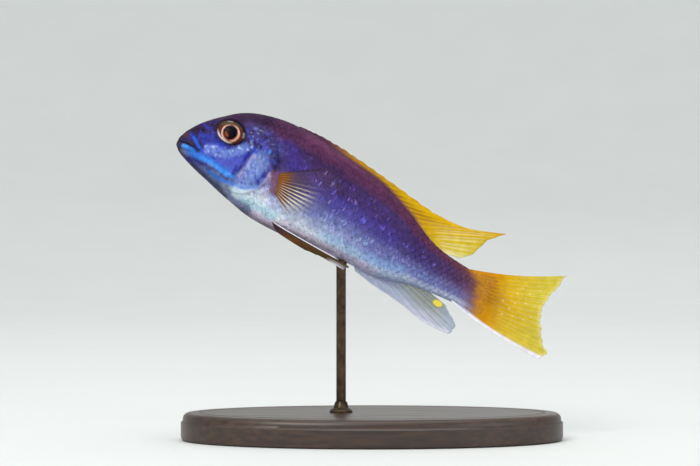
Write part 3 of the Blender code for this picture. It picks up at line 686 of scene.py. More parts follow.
def livingFinish(name, look):
    # Painted tissue: the paint attribute, mottled, with flecks, pores and a wet coat
    made, tree, shader = newMaterial(name)
    colour = attribute(tree, "paint")["Color"]
    mottle = noiseIn(tree, look["mottleSize"], 4.0)["Fac"]
    shade = spread(tree, mottle, 0.3, 0.7, 1 - look["mottle"], 1 + look["mottle"])
    colour = mixColour(tree, 1.0, colour, greyOf(tree, shade), "MULTIPLY")
    if look.get("streak"):                # fine upright streaks, lighter and darker
        grain = noiseIn(tree, look["streakSize"], 2.0, (1, 1, look["streakTall"]))
        gain = look["streak"]
        wave = addNode(tree, "ShaderNodeVectorMath", {
            0: mixColour(tree, 0.3, greyOf(tree, grain["Fac"]), grain["Color"]), 1: (gain,) * 3,
            2: (1 - gain / 2,) * 3}, operation="MULTIPLY_ADD")
        colour = mixColour(tree, 1.0, colour, wave.outputs["Vector"], "MULTIPLY")
    if look.get("fleck"):
        fleck = noiseIn(tree, look["fleckSize"], 2.0, (1, 1, 1.8))["Fac"]
        mask = spread(tree, fleck, 0.54, 0.68, 0.0, look["fleckStrength"])
        mask = product(tree, mask, attribute(tree, "gleam")["Fac"])
        colour = mixColour(tree, mask, colour, colourOf(look["fleck"]))
    if look.get("bar"):                   # each scale's glinting bar, and sparkles between them
        forward, across = attribute(tree, "forward")["Fac"], attribute(tree, "across")["Fac"]
        middle, width = look["bar"]
        bar = spread(tree, distanceFrom(tree, forward, middle), 0.0, width, 1.0, 0.0)
        tall = spread(tree, distanceFrom(tree, across, 0.0), *look["barTall"], 1.0, 0.0)
        sparkle = noiseIn(tree, look["streakSize"], 1.0, (1, 1, 2.2))["Fac"]
        light = addNode(tree, "ShaderNodeMath", {
            0: product(tree, bar, tall), 1: spread(tree, sparkle, 0.55, 0.7, 0.0, look["sparkle"])},
            operation="MAXIMUM").outputs["Value"]
        colour = mixColour(tree, light, colour, attribute(tree, "glint")["Color"], "ADD")
    tree.links.new(colour, shader.inputs["Base Color"])
    rough = noiseIn(tree, look["mottleSize"] * 0.6, 2.0)["Fac"]
    low, high = look["roughness"]
    tree.links.new(spread(tree, rough, 0.3, 0.7, low, high), shader.inputs["Roughness"])
    addBump(tree, shader, noiseIn(tree, look["grainSize"], 3.0)["Fac"], look["grain"], 0.05)
    if look.get("seeThrough"):
        tree.links.new(attribute(tree, "solid")["Fac"], shader.inputs["Alpha"])
    setConstants(shader, look)
    return made


finishes = {
    "skinFinish": {"mottleSize": 1.2, "mottle": 0.14, "fleck": "#4460ee", "fleckSize": 1.1,
                   "fleckStrength": 0.3, "roughness": (0.4, 0.55), "grainSize": 0.18, "grain": 0.3,
                   "streak": 0.7, "streakSize": 0.5, "streakTall": 1.6,
                   "shader": {"Specular IOR Level": 0.04, "Coat Weight": 0.01,
                              "Coat Roughness": 0.16}},
    "scaleFinish": {"mottleSize": 1.6, "mottle": 0.12, "fleck": "#3c3fd8", "fleckSize": 0.7,
                    "fleckStrength": 0.22, "roughness": (0.4, 0.55), "grainSize": 0.14,
                    "grain": 0.2, "streak": 1.3, "streakSize": 0.55, "streakTall": 2.8,
                    "bar": (0.84, 0.07), "barTall": (0.08, 0.48), "sparkle": 0.6,
                    "shader": {"Metallic": 0.1, "Specular IOR Level": 0.04, "Coat Weight": 0.01,
                               "Coat Roughness": 0.22}},
    "finFinish": {"mottleSize": 1.8, "mottle": 0.1, "roughness": (0.5, 0.65), "grainSize": 0.2,
                  "grain": 0.2, "seeThrough": True,
                  "shader": {"Specular IOR Level": 0.05, "Coat Roughness": 0.25}},
    "eyeFinish": {"mottleSize": 0.5, "mottle": 0.18, "roughness": (0.25, 0.35), "grainSize": 0.3,
                  "grain": 0.05,
                  "shader": {"Specular IOR Level": 0.05, "Coat Weight": 0.03,
                             "Coat Roughness": 0.02}},
}
finishes = {name: livingFinish(name, look) for name, look in finishes.items()}


# Skin: one closed surface from the lips to the root of the tail fin

skin = {
    "around": 168,
    "capRings": 12,                       # rings of the blunt front of the snout
    "rings": 236,
    "ringShares": [0.0, 0.13, 0.62, 1.0],
    "ringAlong": [0.0, 3.0, 31.0, 101.0],
    "insetHead": 0.05,                    # the coat's depth, on the bare head and under scales
    "insetFlank": 0.2,
}


def makeSkin():
    cap, total = skin["capRings"], skin["capRings"] + skin["rings"] + 1
    shape = bmesh.new()
    bmesh.ops.create_uvsphere(shape, u_segments=skin["around"], v_segments=total, radius=1.0)
    mesh = meshFrom("skin", shape)
    unit = vertexArray(mesh)
    ring = np.rint(np.arccos(np.clip(unit[:, 2], -1, 1)) / math.pi * total).astype(int)
    angle = np.arctan2(unit[:, 1], unit[:, 0])     # 0 on the right flank, 90 on the back
    side = np.where(np.cos(angle) >= 0, 1.0, -1.0)
    climb = np.arctan2(np.sin(angle), np.abs(np.cos(angle)))
    bodyShare = np.clip((ring - cap) / skin["rings"], 0.0, 1.0)
    spot = section(np.interp(bodyShare, skin["ringShares"], skin["ringAlong"]), climb, side)
    front = np.array([body["front"][0], 0.0, body["front"][1]])
    capped = ring < cap                   # the blunt front, drawn together to one point
    share = np.clip(ring / cap, 0.0, 1.0)[capped]
    spot[capped] = front + (spot[capped] - front) * share[:, None]
    spot[capped, 0] = body["front"][0] * (1 - share ** 2)
    spot[ring == total] = (body["rear"][0], 0.0, body["rear"][1])
    setVertices(mesh, spot)
    normals = vertexNormals(mesh)
    if (normals * (spot - spot.mean(axis=0)))[:, 1].mean() < 0:
        mesh.flip_normals()
        normals = vertexNormals(mesh)
    along, height = spot[:, 0], spot[:, 2]
    scaled = ease((along - 15.0) / 6.0) * ease((96.0 - along) / 5.0)
    inset = skin["insetHead"] + (skin["insetFlank"] - skin["insetHead"]) * scaled
    inset = np.where(within(head["coverEdge"], along, height), skin["insetHead"], inset)
    setVertices(mesh, spot + normals * (relief(along, height) - inset)[:, None])
    setPaint(mesh, markingsWithPaintedLight(along, height, side))
    setNumber(mesh, "gleam", gleamAt(along, height) * ease((along - 3.0) / 3.0))

    flat = unwrapPlace(np.maximum(along, 0.0), climb, side)[cornerVertices(mesh)]
    starts = np.array([face.loop_start for face in mesh.polygons])
    counts = np.array([face.loop_total for face in mesh.polygons])
    highest = np.maximum.reduceat(flat[:, 1], starts)[np.repeat(np.arange(len(starts)), counts)]
    overSeam = (highest - flat[:, 1]) > 0.5
    flat[:, 1] += np.where(overSeam, unwrap["size"][1], 0.0)
    setUnwrap(mesh, flat)
    fishPiece("skin", mesh, "skinFinish", [
        "head", "lower_jaw", "gill_cover_left", "gill_cover_right", "trunk", "tail_stalk"])


makeSkin()
print("skin made")


# Scales: thin overlapping plates in staggered rows, laid on the skin

plates = {
    "steps": (4, 5),                      # faces along and across one scale
    "thick": 0.02,
    "sink": 0.035,                        # the root lies in the skin, the free edge stands out
    "stand": 0.02,
    "longer": 1.7,                        # length and width against the lattice's spacing
    "wider": 1.14,
    "rounded": (0.42, 2.3),               # how far the free edge curves back at its sides
    "uneven": 0.03,                       # spread of the sizes
    "tilt": 0.004,                        # spread of their lean to one side
    "crown": 0.01,                        # how far each bulges along its middle
    "settle": 0.02,                       # all of them lie this much deeper
    "glintHigh": "#5046dc",               # light the bar of a scale adds, upper and lower flank
    "glintLow": "#8ea2b4",
    "glintPale": "#b4acf0",
    "glintLean": 0.08,                    # the bars lean rearward at their lower end
    "patch": 0.003,                       # each scale's own patch on the skin's unwrap
}
scaleFields = {
    "flank": {"start": 16.5, "end": 96.5,
              "spacing": [(16.0, 1.35), (24.0, 1.8), (32.0, 2.3), (60.0, 2.3), (76.0, 1.95),
                          (90.0, 1.55), (97.0, 1.25)],
              "rows": [(16.0, 1.15), (24.0, 1.5), (32.0, 1.75), (60.0, 1.65), (76.0, 1.35),
                       (90.0, 1.1), (97.0, 1.0)],
              "stand": 1.0, "glint": 1.0,
              "starts": [(9.8, 24.0), (13.5, 20.5), (-4.0, 21.0)]},
    "cheek": {"start": 9.0, "end": 20.0, "spacing": [(9.0, 1.25), (20.0, 1.5)],
              "rows": [(9.0, 1.0), (20.0, 1.15)], "stand": 0.55, "glint": 0.6,
              "outline": [(9.6, 2.4), (11.6, 4.2), (16.2, 4.9), (18.6, 7.0), (19.8, 7.2),
                          (19.9, 2.2), (18.9, -0.2), (14.0, -0.1), (10.6, 0.4), (9.6, 2.4)]},
    "gillCover": {"start": 20.0, "end": 28.0, "spacing": [(20.0, 1.5), (28.0, 1.7)],
                  "rows": [(20.0, 1.2), (28.0, 1.3)], "stand": 0.6, "glint": 0.5,
                  "outline": [(21.4, 7.6), (23.2, 9.2), (25.4, 7.8), (26.1, 4.8), (25.4, 1.4),
                              (23.2, -1.2), (20.8, -2.4), (20.9, 0.6), (21.5, 4.0),
                              (21.4, 7.6)]},
}


arcStep = 0.5                             # millimetres between the table's places


def arcTable(steps=141):
    # Length of the body's section from its waist, for many places and climbs
    climbs = np.radians(np.linspace(-112.0, 112.0, steps))
    places = np.arange(0.0, bodyTable[-1, 0] + arcStep, arcStep)
    gridAlong, gridClimb = np.meshgrid(places, climbs, indexing="ij")
    spots = section(gridAlong.ravel(), gridClimb.ravel(), 1.0).reshape(len(places), steps, 3)
    lengths = np.zeros((len(places), steps))
    lengths[:, 1:] = np.cumsum(np.linalg.norm(np.diff(spots[:, :, 1:], axis=1), axis=2), axis=1)
    return climbs, lengths - lengths[:, steps // 2:steps // 2 + 1]


arcClimbs, arcLengths = arcTable()


def climbAt(along, arc):
    row = np.clip(along / arcStep, 0.0, len(arcLengths) - 1.001)
    low = row.astype(int)
    part = (row - low)[:, None]
    lengths = arcLengths[low] * (1 - part) + arcLengths[low + 1] * part
    index = np.clip((lengths < arc[:, None]).sum(1) - 1, 0, len(arcClimbs) - 2)
    rows = np.arange(len(along))
    start, end = lengths[rows, index], lengths[rows, index + 1]
    share = np.clip((arc - start) / (end - start), 0.0, 1.0)
    return arcClimbs[index] + share * (arcClimbs[index + 1] - arcClimbs[index])


def scalePlaces(field):
    # Centres of the scales of one side: along, arc, spacing and row height there
    alongs = np.linspace(field["start"], field["end"], 400)
    spacing = np.interp(alongs, *zip(*field["spacing"]))
    counter = np.concatenate([[0.0], np.cumsum(np.diff(alongs) / spacing[1:])])
    found = []
    for row in range(-16, 17):
        shift = 0.5 if row % 2 else 0.0
        marks = np.arange(0.0, counter[-1], 1.0) + shift
        spots = np.interp(marks[marks < counter[-1]], counter, alongs)
        high = np.interp(spots, *zip(*field["rows"]))
        long = np.interp(spots, *zip(*field["spacing"]))
        found.append(np.stack([spots, row * high, long, high], -1))
    found = np.concatenate(found)
    climb = climbAt(found[:, 0], found[:, 1])
    spot = section(found[:, 0], climb, 1.0)
    along, height = spot[:, 0], spot[:, 2]
    keep = np.abs(climb) < math.radians(93.0)
    if "outline" in field:
        outline = smoothLine(field["outline"], 4)
        keep &= within(outline, along, height)
    else:
        keep &= ~within(head["coverEdge"], along + 0.3, height)
        keep &= padShare(along - 0.4, height) > 1.0
        for under, start in field["starts"]:           # scales start further back under a height
            keep &= (height > under) | (along > start)
    return found[keep]


def makeScales(name, side, seed):
    cols, rows = plates["steps"]
    shape = bmesh.new()
    bmesh.ops.create_grid(shape, x_segments=cols, y_segments=rows, size=0.5)
    if side > 0:
        bmesh.ops.reverse_faces(shape, faces=shape.faces)
    one = meshFrom("oneScale", shape)
    local = vertexArray(one)
    forward, across = local[:, 0] + 0.5, local[:, 1] * 2      # 0 at the root, 1 at the free edge
    dice = np.random.default_rng(seed)
    fields = [(scalePlaces(field), field["stand"], field["glint"]) for field in scaleFields.values()]
    centres = np.concatenate([spots for spots, _, _ in fields])
    stands, glints = [np.concatenate([np.full(len(field[0]), field[k]) for field in fields])
                      for k in (1, 2)]
    count = len(centres)

    def each(values):                     # one value of each scale, for all its points
        return np.repeat(values, len(forward), axis=0)

    shape = bmesh.new()
    for _ in range(count):
        shape.from_mesh(one)
    mesh = meshFrom(name, shape)
    along, arc, spacing, high = [centres[:, k:k + 1] for k in range(4)]
    length = spacing * plates["longer"] * dice.normal(1.0, plates["uneven"], (count, 1))
    rearEdge = 1 - plates["rounded"][0] * np.abs(across) ** plates["rounded"][1]
    x = along + length * (forward * rearEdge - 0.5)
    y = arc + high * plates["wider"] * across * (0.72 + 0.28 * np.sin(np.pi * forward / 1.25))
    tilt = dice.normal(0.0, plates["tilt"], (count, 1)) * across
    lift = -plates["sink"] + (plates["stand"] + plates["sink"]) * forward * rearEdge
    crown = plates["crown"] * (1 - across**2)
    lift = (lift + tilt + crown) * stands[:, None] - plates["settle"]
    x, y, lift = x.ravel(), y.ravel(), lift.ravel()
    climb = climbAt(x, y)
    setVertices(mesh, skinAt(x, climb, side, lift - skin["insetFlank"] + plates["sink"]))

    height = section(x, climb, side)[:, 2]
    tone = each(dice.normal(1.0, 0.045, count))[:, None]
    setPaint(mesh, markingsWithPaintedLight(x, height, side) * tone)
    level = gleamAt(x, height)
    setNumber(mesh, "gleam", level)
    back, belly, _ = bodySizes(x)
    upper = ease(((height - belly) / (back - belly) - 0.3) / 0.3)
    pick = each(dice.random(count) * glints)       # few scales glint, and fewer on the upper flank
    glint = np.clip(pick * (2 + upper) - 0.45 - 1.35 * upper, 0.2 * (1 - upper), 1.25) * level
    glint *= 1 + 0.45 * upper * hump(x - 42.0, 14.0)         # strongest behind the breast fin
    low, strong, pale = [paintOf(plates[key]) for key in ("glintLow", "glintHigh", "glintPale")]
    tint = blendTo(plain(low, x), strong, upper)
    tint = blendTo(tint, pale, 0.8 * each(dice.random(count) ** 1.5) * upper)
    tint *= each(dice.normal(1.0, 0.2, (count, 3)))
    setPaint(mesh, np.clip(tint, 0, 1) * glint[:, None], "glint")
    lean = forward * rearEdge - plates["glintLean"] * across
    setNumber(mesh, "forward", np.tile(lean, count))
    setNumber(mesh, "across", np.tile(across, count))

    centreClimb = np.clip(climbAt(centres[:, 0], centres[:, 1]), -math.pi / 2, math.pi / 2)
    root = unwrapPlace(centres[:, 0], centreClimb, side)
    patch = plates["patch"] * np.stack([forward - 0.5, across / 2], -1)
    setUnwrap(mesh, (root[:, None, :] + patch[None]).reshape(-1, 2)[cornerVertices(mesh)])
    made = fishPiece(name, mesh, "scaleFinish")
    thicken = made.modifiers.new("thickness", "SOLIDIFY")
    thicken.thickness = plates["thick"] * millimetre
    thicken.offset = -1.0
    made.modifiers.new("evenShading", "WEIGHTED_NORMAL")     # the thin rim doesn't darken a scale
    print(name, count, "scales")


makeScales("scales_left", -1, 7)
makeScales("scales_right", 1, 11)


# Eyes

eyes = {
    "segments": 96,
    "half": (4.5, 3.5, 2.1),
    "depth": 1.1,
    "lean": 14.0,
    "toe": 8.0,
    "pupilAt": (0.05, -0.42),             # from the dome's middle, rearward and up
    "pupil": 2.06,
    "ring": 2.6,
    "irisCoats": [
        ("irisDeep", 0.5, ("streaks",)),
        ("olive", 0.85, ("top",)),
        ("irisDeep", 0.7, ("edgeShare", 0.7, 0.86)),
        # painted highlights: white crescents of light on the eye's rim, in the edge tone
        ("edge", 1.0, ("paintedGlints",), ("edgeShare", 0.87, 0.06, "band"))],
    "ringCoats": [("ring", 1.0, ("shine",)), ("ringGold", 0.8, ("rear",))],
    "pupilCoats": [
        ("ringDeep", 0.8, ("fromPupil", 0.1, 0.12, "band")),
        ("pupil", 1.0, ("fromPupil", 0.06, -0.06)),
        ("ember", 0.85, ("glow",), ("radius", 1.3, 0.42, "band"))],
}
# the edge tone is the white of the painted highlights on the eye's rim
eyeTones = {name: paintOf(code) for name, code in {
    "pupil": "#08080f", "ember": "#a8502f", "ring": "#e8b8aa", "ringGold": "#c98c5c",
    "ringDeep": "#74281f", "iris": "#5e2f29", "irisDeep": "#331b1d", "olive": "#4f4a2e",
    "edge": "#dcdcd6"}.items()}


def toward(bearing, degrees, wide, soft):
    # 1 around a bearing, fading out at an angle to it
    return ease((np.cos(bearing - math.radians(degrees)) - math.cos(math.radians(wide))) / soft)


def makeEye(name, node, side):
    shape = bmesh.new()
    bmesh.ops.create_uvsphere(shape, u_segments=eyes["segments"], v_segments=eyes["segments"],
                              radius=1.0)
    mesh = meshFrom(name, shape)
    unit = vertexArray(mesh)
    east, north, dome = (unit * eyes["half"]).T
    outer = unit[:, 2] > 0
    up = north * -side
    edgeShare = np.hypot(unit[:, 0], unit[:, 1])
    right, above = east - eyes["pupilAt"][0], up - eyes["pupilAt"][1]
    radius = np.hypot(right, above)
    dome = dome + np.where(outer, 0.14 * ease((eyes["pupil"] + 0.1 - radius) / 0.5), 0.0)
    dome -= np.where(outer, 0.06 * hump(radius - eyes["ring"] - 0.2, 0.3), 0.0)
    aim = (Matrix.Rotation(math.radians(eyes["toe"]) * side, 4, "Z")
           @ Matrix.Rotation(math.radians(90 - eyes["lean"]) * -side, 4, "X"))
    axis = aim.to_3x3() @ Vector((0, 0, 1))
    surface = Vector(flankAt(*head["eye"], side)[0])
    setVertices(mesh, np.stack([east, north, dome], -1))
    mesh.transform(Matrix.Translation(surface - axis * eyes["depth"]) @ aim)

    bearing = np.arctan2(up, east)        # of the whole eye, and about the pupil
    around = np.arctan2(above, right)
    measures = {
        "edgeShare": edgeShare, "radius": radius, "fromPupil": radius - eyes["pupil"],
        "streaks": 0.5 + 0.5 * np.sin(around * 23 + 3 * np.sin(around * 5)),
        "top": toward(bearing, 110, 75, 0.5), "rear": toward(around, -15, 55, 0.5),
        # painted highlights: a wide crescent and two small glints round the eye's rim
        "paintedGlints": toward(bearing, -112, 60, 0.4) + 0.35 * (
            toward(bearing, 12, 16, 0.03) + toward(bearing, 122, 16, 0.03)),
        "shine": np.abs(np.cos(around - math.radians(15))) ** 0.6,
        "glow": toward(around, -124, 48, 0.4) * (radius < eyes["pupil"])}
    colours = coated(plain(eyeTones["iris"], east), eyeTones, eyes["irisCoats"], measures)
    ring = coated(plain(eyeTones["ringDeep"], east), eyeTones, eyes["ringCoats"], measures)
    wide = eyes["ring"] + 0.2 * toward(around, -10, 60, 0.5) - 0.25 * toward(around, 110, 50, 0.5)
    colours = blendTo(colours, ring, ease((wide + 0.12 - radius) / 0.24))
    setPaint(mesh, coated(colours, eyeTones, eyes["pupilCoats"], measures))
    fishPiece(name, mesh, "eyeFinish", [node])


makeEye("eyeball_left", "eye_left", -1)
makeEye("eyeball_right", "eye_right", 1)
print("eyes made")


# Fins: a sheet with many columns to a ray, thick on the rays and their branches

finTones = {name: paintOf(code) for name, code in {
    "gold": "#d0a60a", "deepGold": "#bc8408", "lemon": "#cdba34", "palest": "#ece4ac",
    "orange": "#d68a0c", "amber": "#b98c18", "brown": "#8a5420", "plum": "#5a3350",
    "white": "#ece8f4", "lilac": "#a2abc0", "grey": "#9aa1a6", "olive": "#757a5c",
    "dusk": "#6d6c94", "egg": "#ecd94e", "eggRim": "#8d8a4e", "smoke": "#6a4538",
    "umber": "#2b2122", "rust": "#7c4c26", "rayBrown": "#b57d2e", "rayPale": "#f6ecd8",
    "film": "#54412a", "padRed": "#7c4646", "base": "#74484a", "bark": "#5c4826"}.items()}


def makeFin(name, node, spec, placeOf, measuresOf, seed, flip=False):
    last = spec["rays"] - 1
    shape = bmesh.new()
    bmesh.ops.create_grid(shape, x_segments=last * spec["perRay"], y_segments=spec["rows"], size=0.5)
    if flip:
        bmesh.ops.reverse_faces(shape, faces=shape.faces)
    mesh = meshFrom(name, shape)
    local = vertexArray(mesh)
    across, out = local[:, 0] + 0.5, local[:, 1] + 0.5
    dice = np.random.default_rng(seed)
    phase = across * last
    ray = np.clip(np.rint(phase), 0, last).astype(int)
    off = phase - ray
    soft = ray >= spec["stiff"]
    fork = np.where(soft, 0.24 * ease((out - spec["fork"]) / 0.6), 0.0)
    ridge = hump(np.abs(off) - fork, np.where(soft, 0.15 - 0.05 * out, 0.17))
    rootRay, tipRay = spec["ray"]
    thick = spec["web"] + (rootRay + (tipRay - rootRay) * out - spec["web"]) * ridge
    thick += (spec["rootThick"] - thick) * np.maximum(0.0, 1 - spec["blend"] * out) ** 2
    lengths = 1 - np.abs(dice.normal(0.0, 0.012, spec["rays"]))
    notch = np.where(soft, spec["notch"][1], spec["notch"][0])
    edge = lengths[ray] - notch * (1 - hump(off, 0.28)) * (0.7 + 0.6 * dice.random(spec["rays"])[ray])
    spots = placeOf(across, out * edge)
    setVertices(mesh, spots)

    measures = {"across": across, "out": out, "phase": phase, "ray": ray, "off": off,
                "gaps": 1 - ridge, "along": spots[:, 0], "height": spots[:, 2]}
    measures.update(measuresOf(**measures))
    colours = measures.get("colours", plain(finTones[spec["tone"]], out))
    setPaint(mesh, coated(colours, finTones, spec["coats"], measures))
    whole, loss, *limits = spec["solid"]
    setNumber(mesh, "solid", measures.get("solid", whole - limited(loss, limits, measures)))
    made = fishPiece(name, mesh, "finFinish", [node])
    group = made.vertex_groups.new(name="thickness")
    for index, weight in enumerate(thick / spec["rootThick"]):
        group.add([index], float(min(weight, 1.0)), "REPLACE")
    thicken = made.modifiers.new("thickness", "SOLIDIFY")
    thicken.thickness = spec["rootThick"] * millimetre
    thicken.offset = 0.0
    thicken.vertex_group = "thickness"
    thicken.thickness_vertex_group = 0.0
    print(name, "made")


def between(root, tip, out):
    return root * (1 - out[:, None]) + tip * out[:, None]


def medianPlace(spec):                    # of a fin on the back or under the belly
    def placeOf(across, out):
        along = spec["root"][0] + across * (spec["root"][1] - spec["root"][0])
        root = np.stack([along, bodySizes(along)[spec["edge"]] + spec["sink"], 0 * along], -1)
        share = spec["outerShare"]
        outer = pointsOn(spec["outer"], (across / share) ** spec["lean"])
        rear = pointsOn(spec["rear"], (across - share) / (1 - share))
        spot = between(root, np.where((across <= share)[:, None], outer, rear), out)
        size, waves, start, whole = spec["ripple"]
        ripple = size * np.sin(across * waves + start) * out * ease(whole + 3 * across)
        return np.stack([spot[:, 0], ripple, spot[:, 1]], -1)
    return placeOf


dorsal = {
    "rays": 26, "perRay": 8, "rows": 30, "rootThick": 0.9, "ray": (0.6, 0.2),
    "web": 0.16, "stiff": 17, "notch": (0.08, 0.02), "fork": 0.32, "blend": 3.0,
    "root": (28.5, 81.0), "edge": 0, "sink": -0.9,        # edge 0 is the back, 1 the belly
    "outer": smoothLine([(29.5, 20.4), (38.0, 20.6), (46.6, 19.9), (63.0, 17.5), (77.0, 15.6),
                         (87.0, 16.3), (96.8, 19.8)]),
    "rear": smoothLine([(96.8, 19.8), (92.6, 15.6), (90.4, 10.2), (87.6, 7.3)]),
    "outerShare": 0.84, "lean": 1.6,
    "ripple": (0.25, 21.0, 0.0, 0.0),
    "tone": "gold",
    "coats": [
        ("deepGold", 0.8, ("across", 0.62, 0.32)),
        ("lemon", 0.85, ("across", 0.84, 0.98)),
        ("amber", 0.4, ("gaps",), ("out", 0.8, 0.3)),
        ("amber", 0.55, ("across", 0.42, 0.22), ("out", 0.9, 0.4)),
        ("brown", 0.36, ("across", 0.66, 0.42)),
        ("brown", 0.65, ("gaps",), ("out", 0.7, 0.2), ("across", 0.4, 0.6), ("across", 0.88, 0.73)),
        ("palest", 0.75, ("lines",), ("across", 0.74, 0.9), ("out", 0.12, 0.32), ("out", 1.02, 0.72)),
        ("palest", 0.5, ("across", 0.95, 1.0)),
        ("orange", 0.4, ("out", 0.82, 1.0), ("across", 0.5, 0.65), ("across", 0.87, 0.82)),
        ("plum", 0.97, ("front",)),
        ("base", 0.85, ("shadow",), ("across", 0.97, 0.77))],
    "solid": (0.98, 0.12, ("gaps",), ("out", 0.4, 1.0), ("across", 0.5, 0.9)),
}


def dorsalMeasures(along, height, out, off, **_):
    front = ease((49.0 - along) / 11.0)   # folded and dark in front
    rim = ease((out - 0.8) / 0.2) * ease((along - 35.0) / 8.0)
    above = height - bodySizes(along)[0]
    return {"lines": hump(np.abs(off) - 0.3, 0.08), "front": front * (1 - 0.45 * rim),
            "shadow": ease((0.7 - above) / 0.7) * (1 - front)}


makeFin("dorsal_rays", "dorsal_fin", dorsal, medianPlace(dorsal), dorsalMeasures, 3)

caudal = {
    "rays": 17, "perRay": 10, "rows": 72, "rootThick": 1.5, "ray": (0.42, 0.16),
    "web": 0.28, "stiff": 0, "notch": (0.03, 0.008), "fork": 0.32, "blend": 5.0,
    "root": (5.7, -4.9), "start": 91.0, "bow": -1.0, "ripple": (0.3, 9.0, 0.5),
    "rear": smoothLine([(117.5, 16.9), (116.5, 12.0), (115.4, 7.1), (115.7, 4.3), (118.0, -0.3),
                        (120.5, -3.7), (122.6, -6.1), (121.0, -8.2)]),
    "dots": [(104.1, 2.2), (107.5, 3.0), (106.7, 1.0), (108.5, -0.5), (111.6, -0.1), (110.1, 7.3),
             (107.7, 7.9), (106.9, 5.8), (105.6, -1.4), (110.3, 4.4), (113.4, 1.6), (112.6, 9.6)],
    "tone": "gold",
    "bands": [("plum", -3.0), ("brown", -0.4), ("amber", 2.2), ("deepGold", 5.5), ("gold", 12.0),
              ("lemon", 22.0)],           # millimetres past the violet stalk's edge
    "coats": [
        ("orange", 0.7, ("rims",), ("past", 0.0, 2.0), ("past", 13.0, 5.0)),
        ("brown", 1.0, ("streak",)),
        ("lemon", 0.35, ("across", 0.5, 0.8), ("past", 5.0, 12.0)),
        ("palest", 0.2, ("lines",), ("out", 0.35, 0.6)),
        ("palest", 0.6, ("fromDot", 0.4, 0.1)),
        ("palest", 0.4, ("out", 0.94, 1.0)),
        # painted highlight: a white rim of light along the tail fin's lower edge
        ("white", 0.95, ("paintedLowerRimLight",))],
    "solid": (0.98, 0.1, ("gaps",), ("out", 0.45, 0.95)),
}


def caudalPlace(across, out):
    height = caudal["root"][0] + across * (caudal["root"][1] - caudal["root"][0])
    root = np.stack([np.full_like(across, caudal["start"]), height, 0 * across], -1)
    spot = between(root, pointsOn(caudal["rear"], across), out)
    size, waves, start = caudal["ripple"]
    ripple = size * np.sin(across * waves + start) * out**1.5
    return np.stack([spot[:, 0], ripple, spot[:, 1] + caudal["bow"] * np.sin(math.pi * out)], -1)


def caudalMeasures(along, height, across, out, off, gaps, **_):
    past = pastEdge(along, height)
    names, stops = zip(*caudal["bands"])
    fromBelow = (1 - across) * (10.6 + 15 * out)       # millimetres above the lower edge
    return {
        "colours": graded(past, stops, [finTones[name] for name in names]),
        "past": past, "streak": tailStreak(past, gaps, across),
        "rims": np.maximum(hump(across - 0.04, 0.16), 0.6 * hump(across - 0.8, 0.13)),
        "lines": hump(np.abs(off) - 0.36, 0.08),
        "fromDot": np.min([np.hypot(along - x, 1.3 * (height - z)) for x, z in caudal["dots"]], axis=0),
        # painted highlight: white along the lower edge
        "paintedLowerRimLight": ease((0.9 + 1.1 * out - fromBelow) / (0.4 + 0.8 * out))}


makeFin("caudal_rays", "caudal_fin", caudal, caudalPlace, caudalMeasures, 5)

anal = {
    "rays": 12, "perRay": 10, "rows": 34, "rootThick": 0.9, "ray": (0.45, 0.18),
    "web": 0.22, "stiff": 3, "notch": (0.05, 0.015), "fork": 0.32, "blend": 3.0,
    "root": (61.0, 82.5), "edge": 1, "sink": 0.8,
    "outer": smoothLine([(62.4, -9.7), (70.0, -11.2), (78.2, -12.1), (86.0, -13.8), (94.8, -13.7)]),
    "rear": smoothLine([(94.8, -13.7), (95.3, -10.6), (92.3, -8.2), (90.0, -6.5)]),
    "outerShare": 0.6, "lean": 1.0,
    "ripple": (0.3, 8.0, 1.0, 1.0),
    "egg": (87.7, -7.1), "eggHalf": (1.45, 0.95),         # the yellow spot
    "tone": "lilac",
    "coats": [
        ("grey", 0.7, ("rearward",), ("out", 1.1, 0.5)),
        ("olive", 0.38, ("rearward",), ("out", 0.85, 0.35)),
        ("olive", 0.8, ("lines",), ("rearward",), ("out", 1.1, 0.5)),
        ("dusk", 0.3, ("lines",), ("forward",)),
        ("white", 0.3, ("unlined",), ("out", 0.35, 0.75), ("across", 0.25, 0.45),
         ("across", 0.8, 0.55)),
        ("white", 0.55, ("out", 0.82, 1.0), ("front",)),
        ("dusk", 0.6, ("out", 0.34, 0.09), ("forward",)),
        ("eggRim", 0.55, ("fromEgg", 1.5, 1.1)),
        ("egg", 1.0, ("fromEgg", 1.16, 0.76))],
    "solid": (0.97, 0.12, ("gaps",), ("out", 0.4, 1.0)),
}


def analMeasures(along, height, across, out, off, **_):
    rearward = ease((across - 0.42) / 0.3)
    lines = hump(np.abs(off) - 0.5, 0.13) + 0.6 * hump(off - 0.12, 0.07) * ease((out - 0.3) / 0.2)
    return {"rearward": rearward, "forward": 1 - rearward, "front": across < 0.62,
            "lines": lines, "unlined": 1 - 0.6 * np.clip(lines, 0, 1),
            "fromEgg": np.hypot((along - anal["egg"][0]) / anal["eggHalf"][0],
                                (height - anal["egg"][1]) / anal["eggHalf"][1])}


makeFin("anal_rays", "anal_fin", anal, medianPlace(anal), analMeasures, 9, True)

pectoral = {
    "rays": 13, "perRay": 10, "rows": 44, "rootThick": 0.8, "ray": (0.36, 0.12),
    "web": 0.09, "stiff": 0, "notch": (0.03, 0.03), "fork": 0.6, "blend": 7.0,
    "root": smoothLine([(30.7, 5.6), (32.4, -0.3)]),
    "edge": smoothLine([(43.9, 14.0), (47.9, 12.6), (49.3, 8.5), (48.7, 4.8), (45.5, 0.6),
                        (38.4, -4.2)]),
    "spread": 27.0, "rise": 3.2, "gap": -0.1,
    "tone": "film",
    "rayCoats": [
        ("rayPale", 1.0, ("low",), ("fromRoot", 14.0, 9.0)),
        ("rayBrown", 1.0, ("fromRoot", 6.0, 1.0), ("smoky",))],
    "coats": [
        ("brown", 0.7, ("fromRoot", 1.7, 0.3)),
        ("padRed", 1.0, ("out", 0.07, 0.02)),
        ("umber", 0.7, ("lead",), ("fromRoot", 1.0, 4.0))],
    "solid": (1.0, 0.0),
}
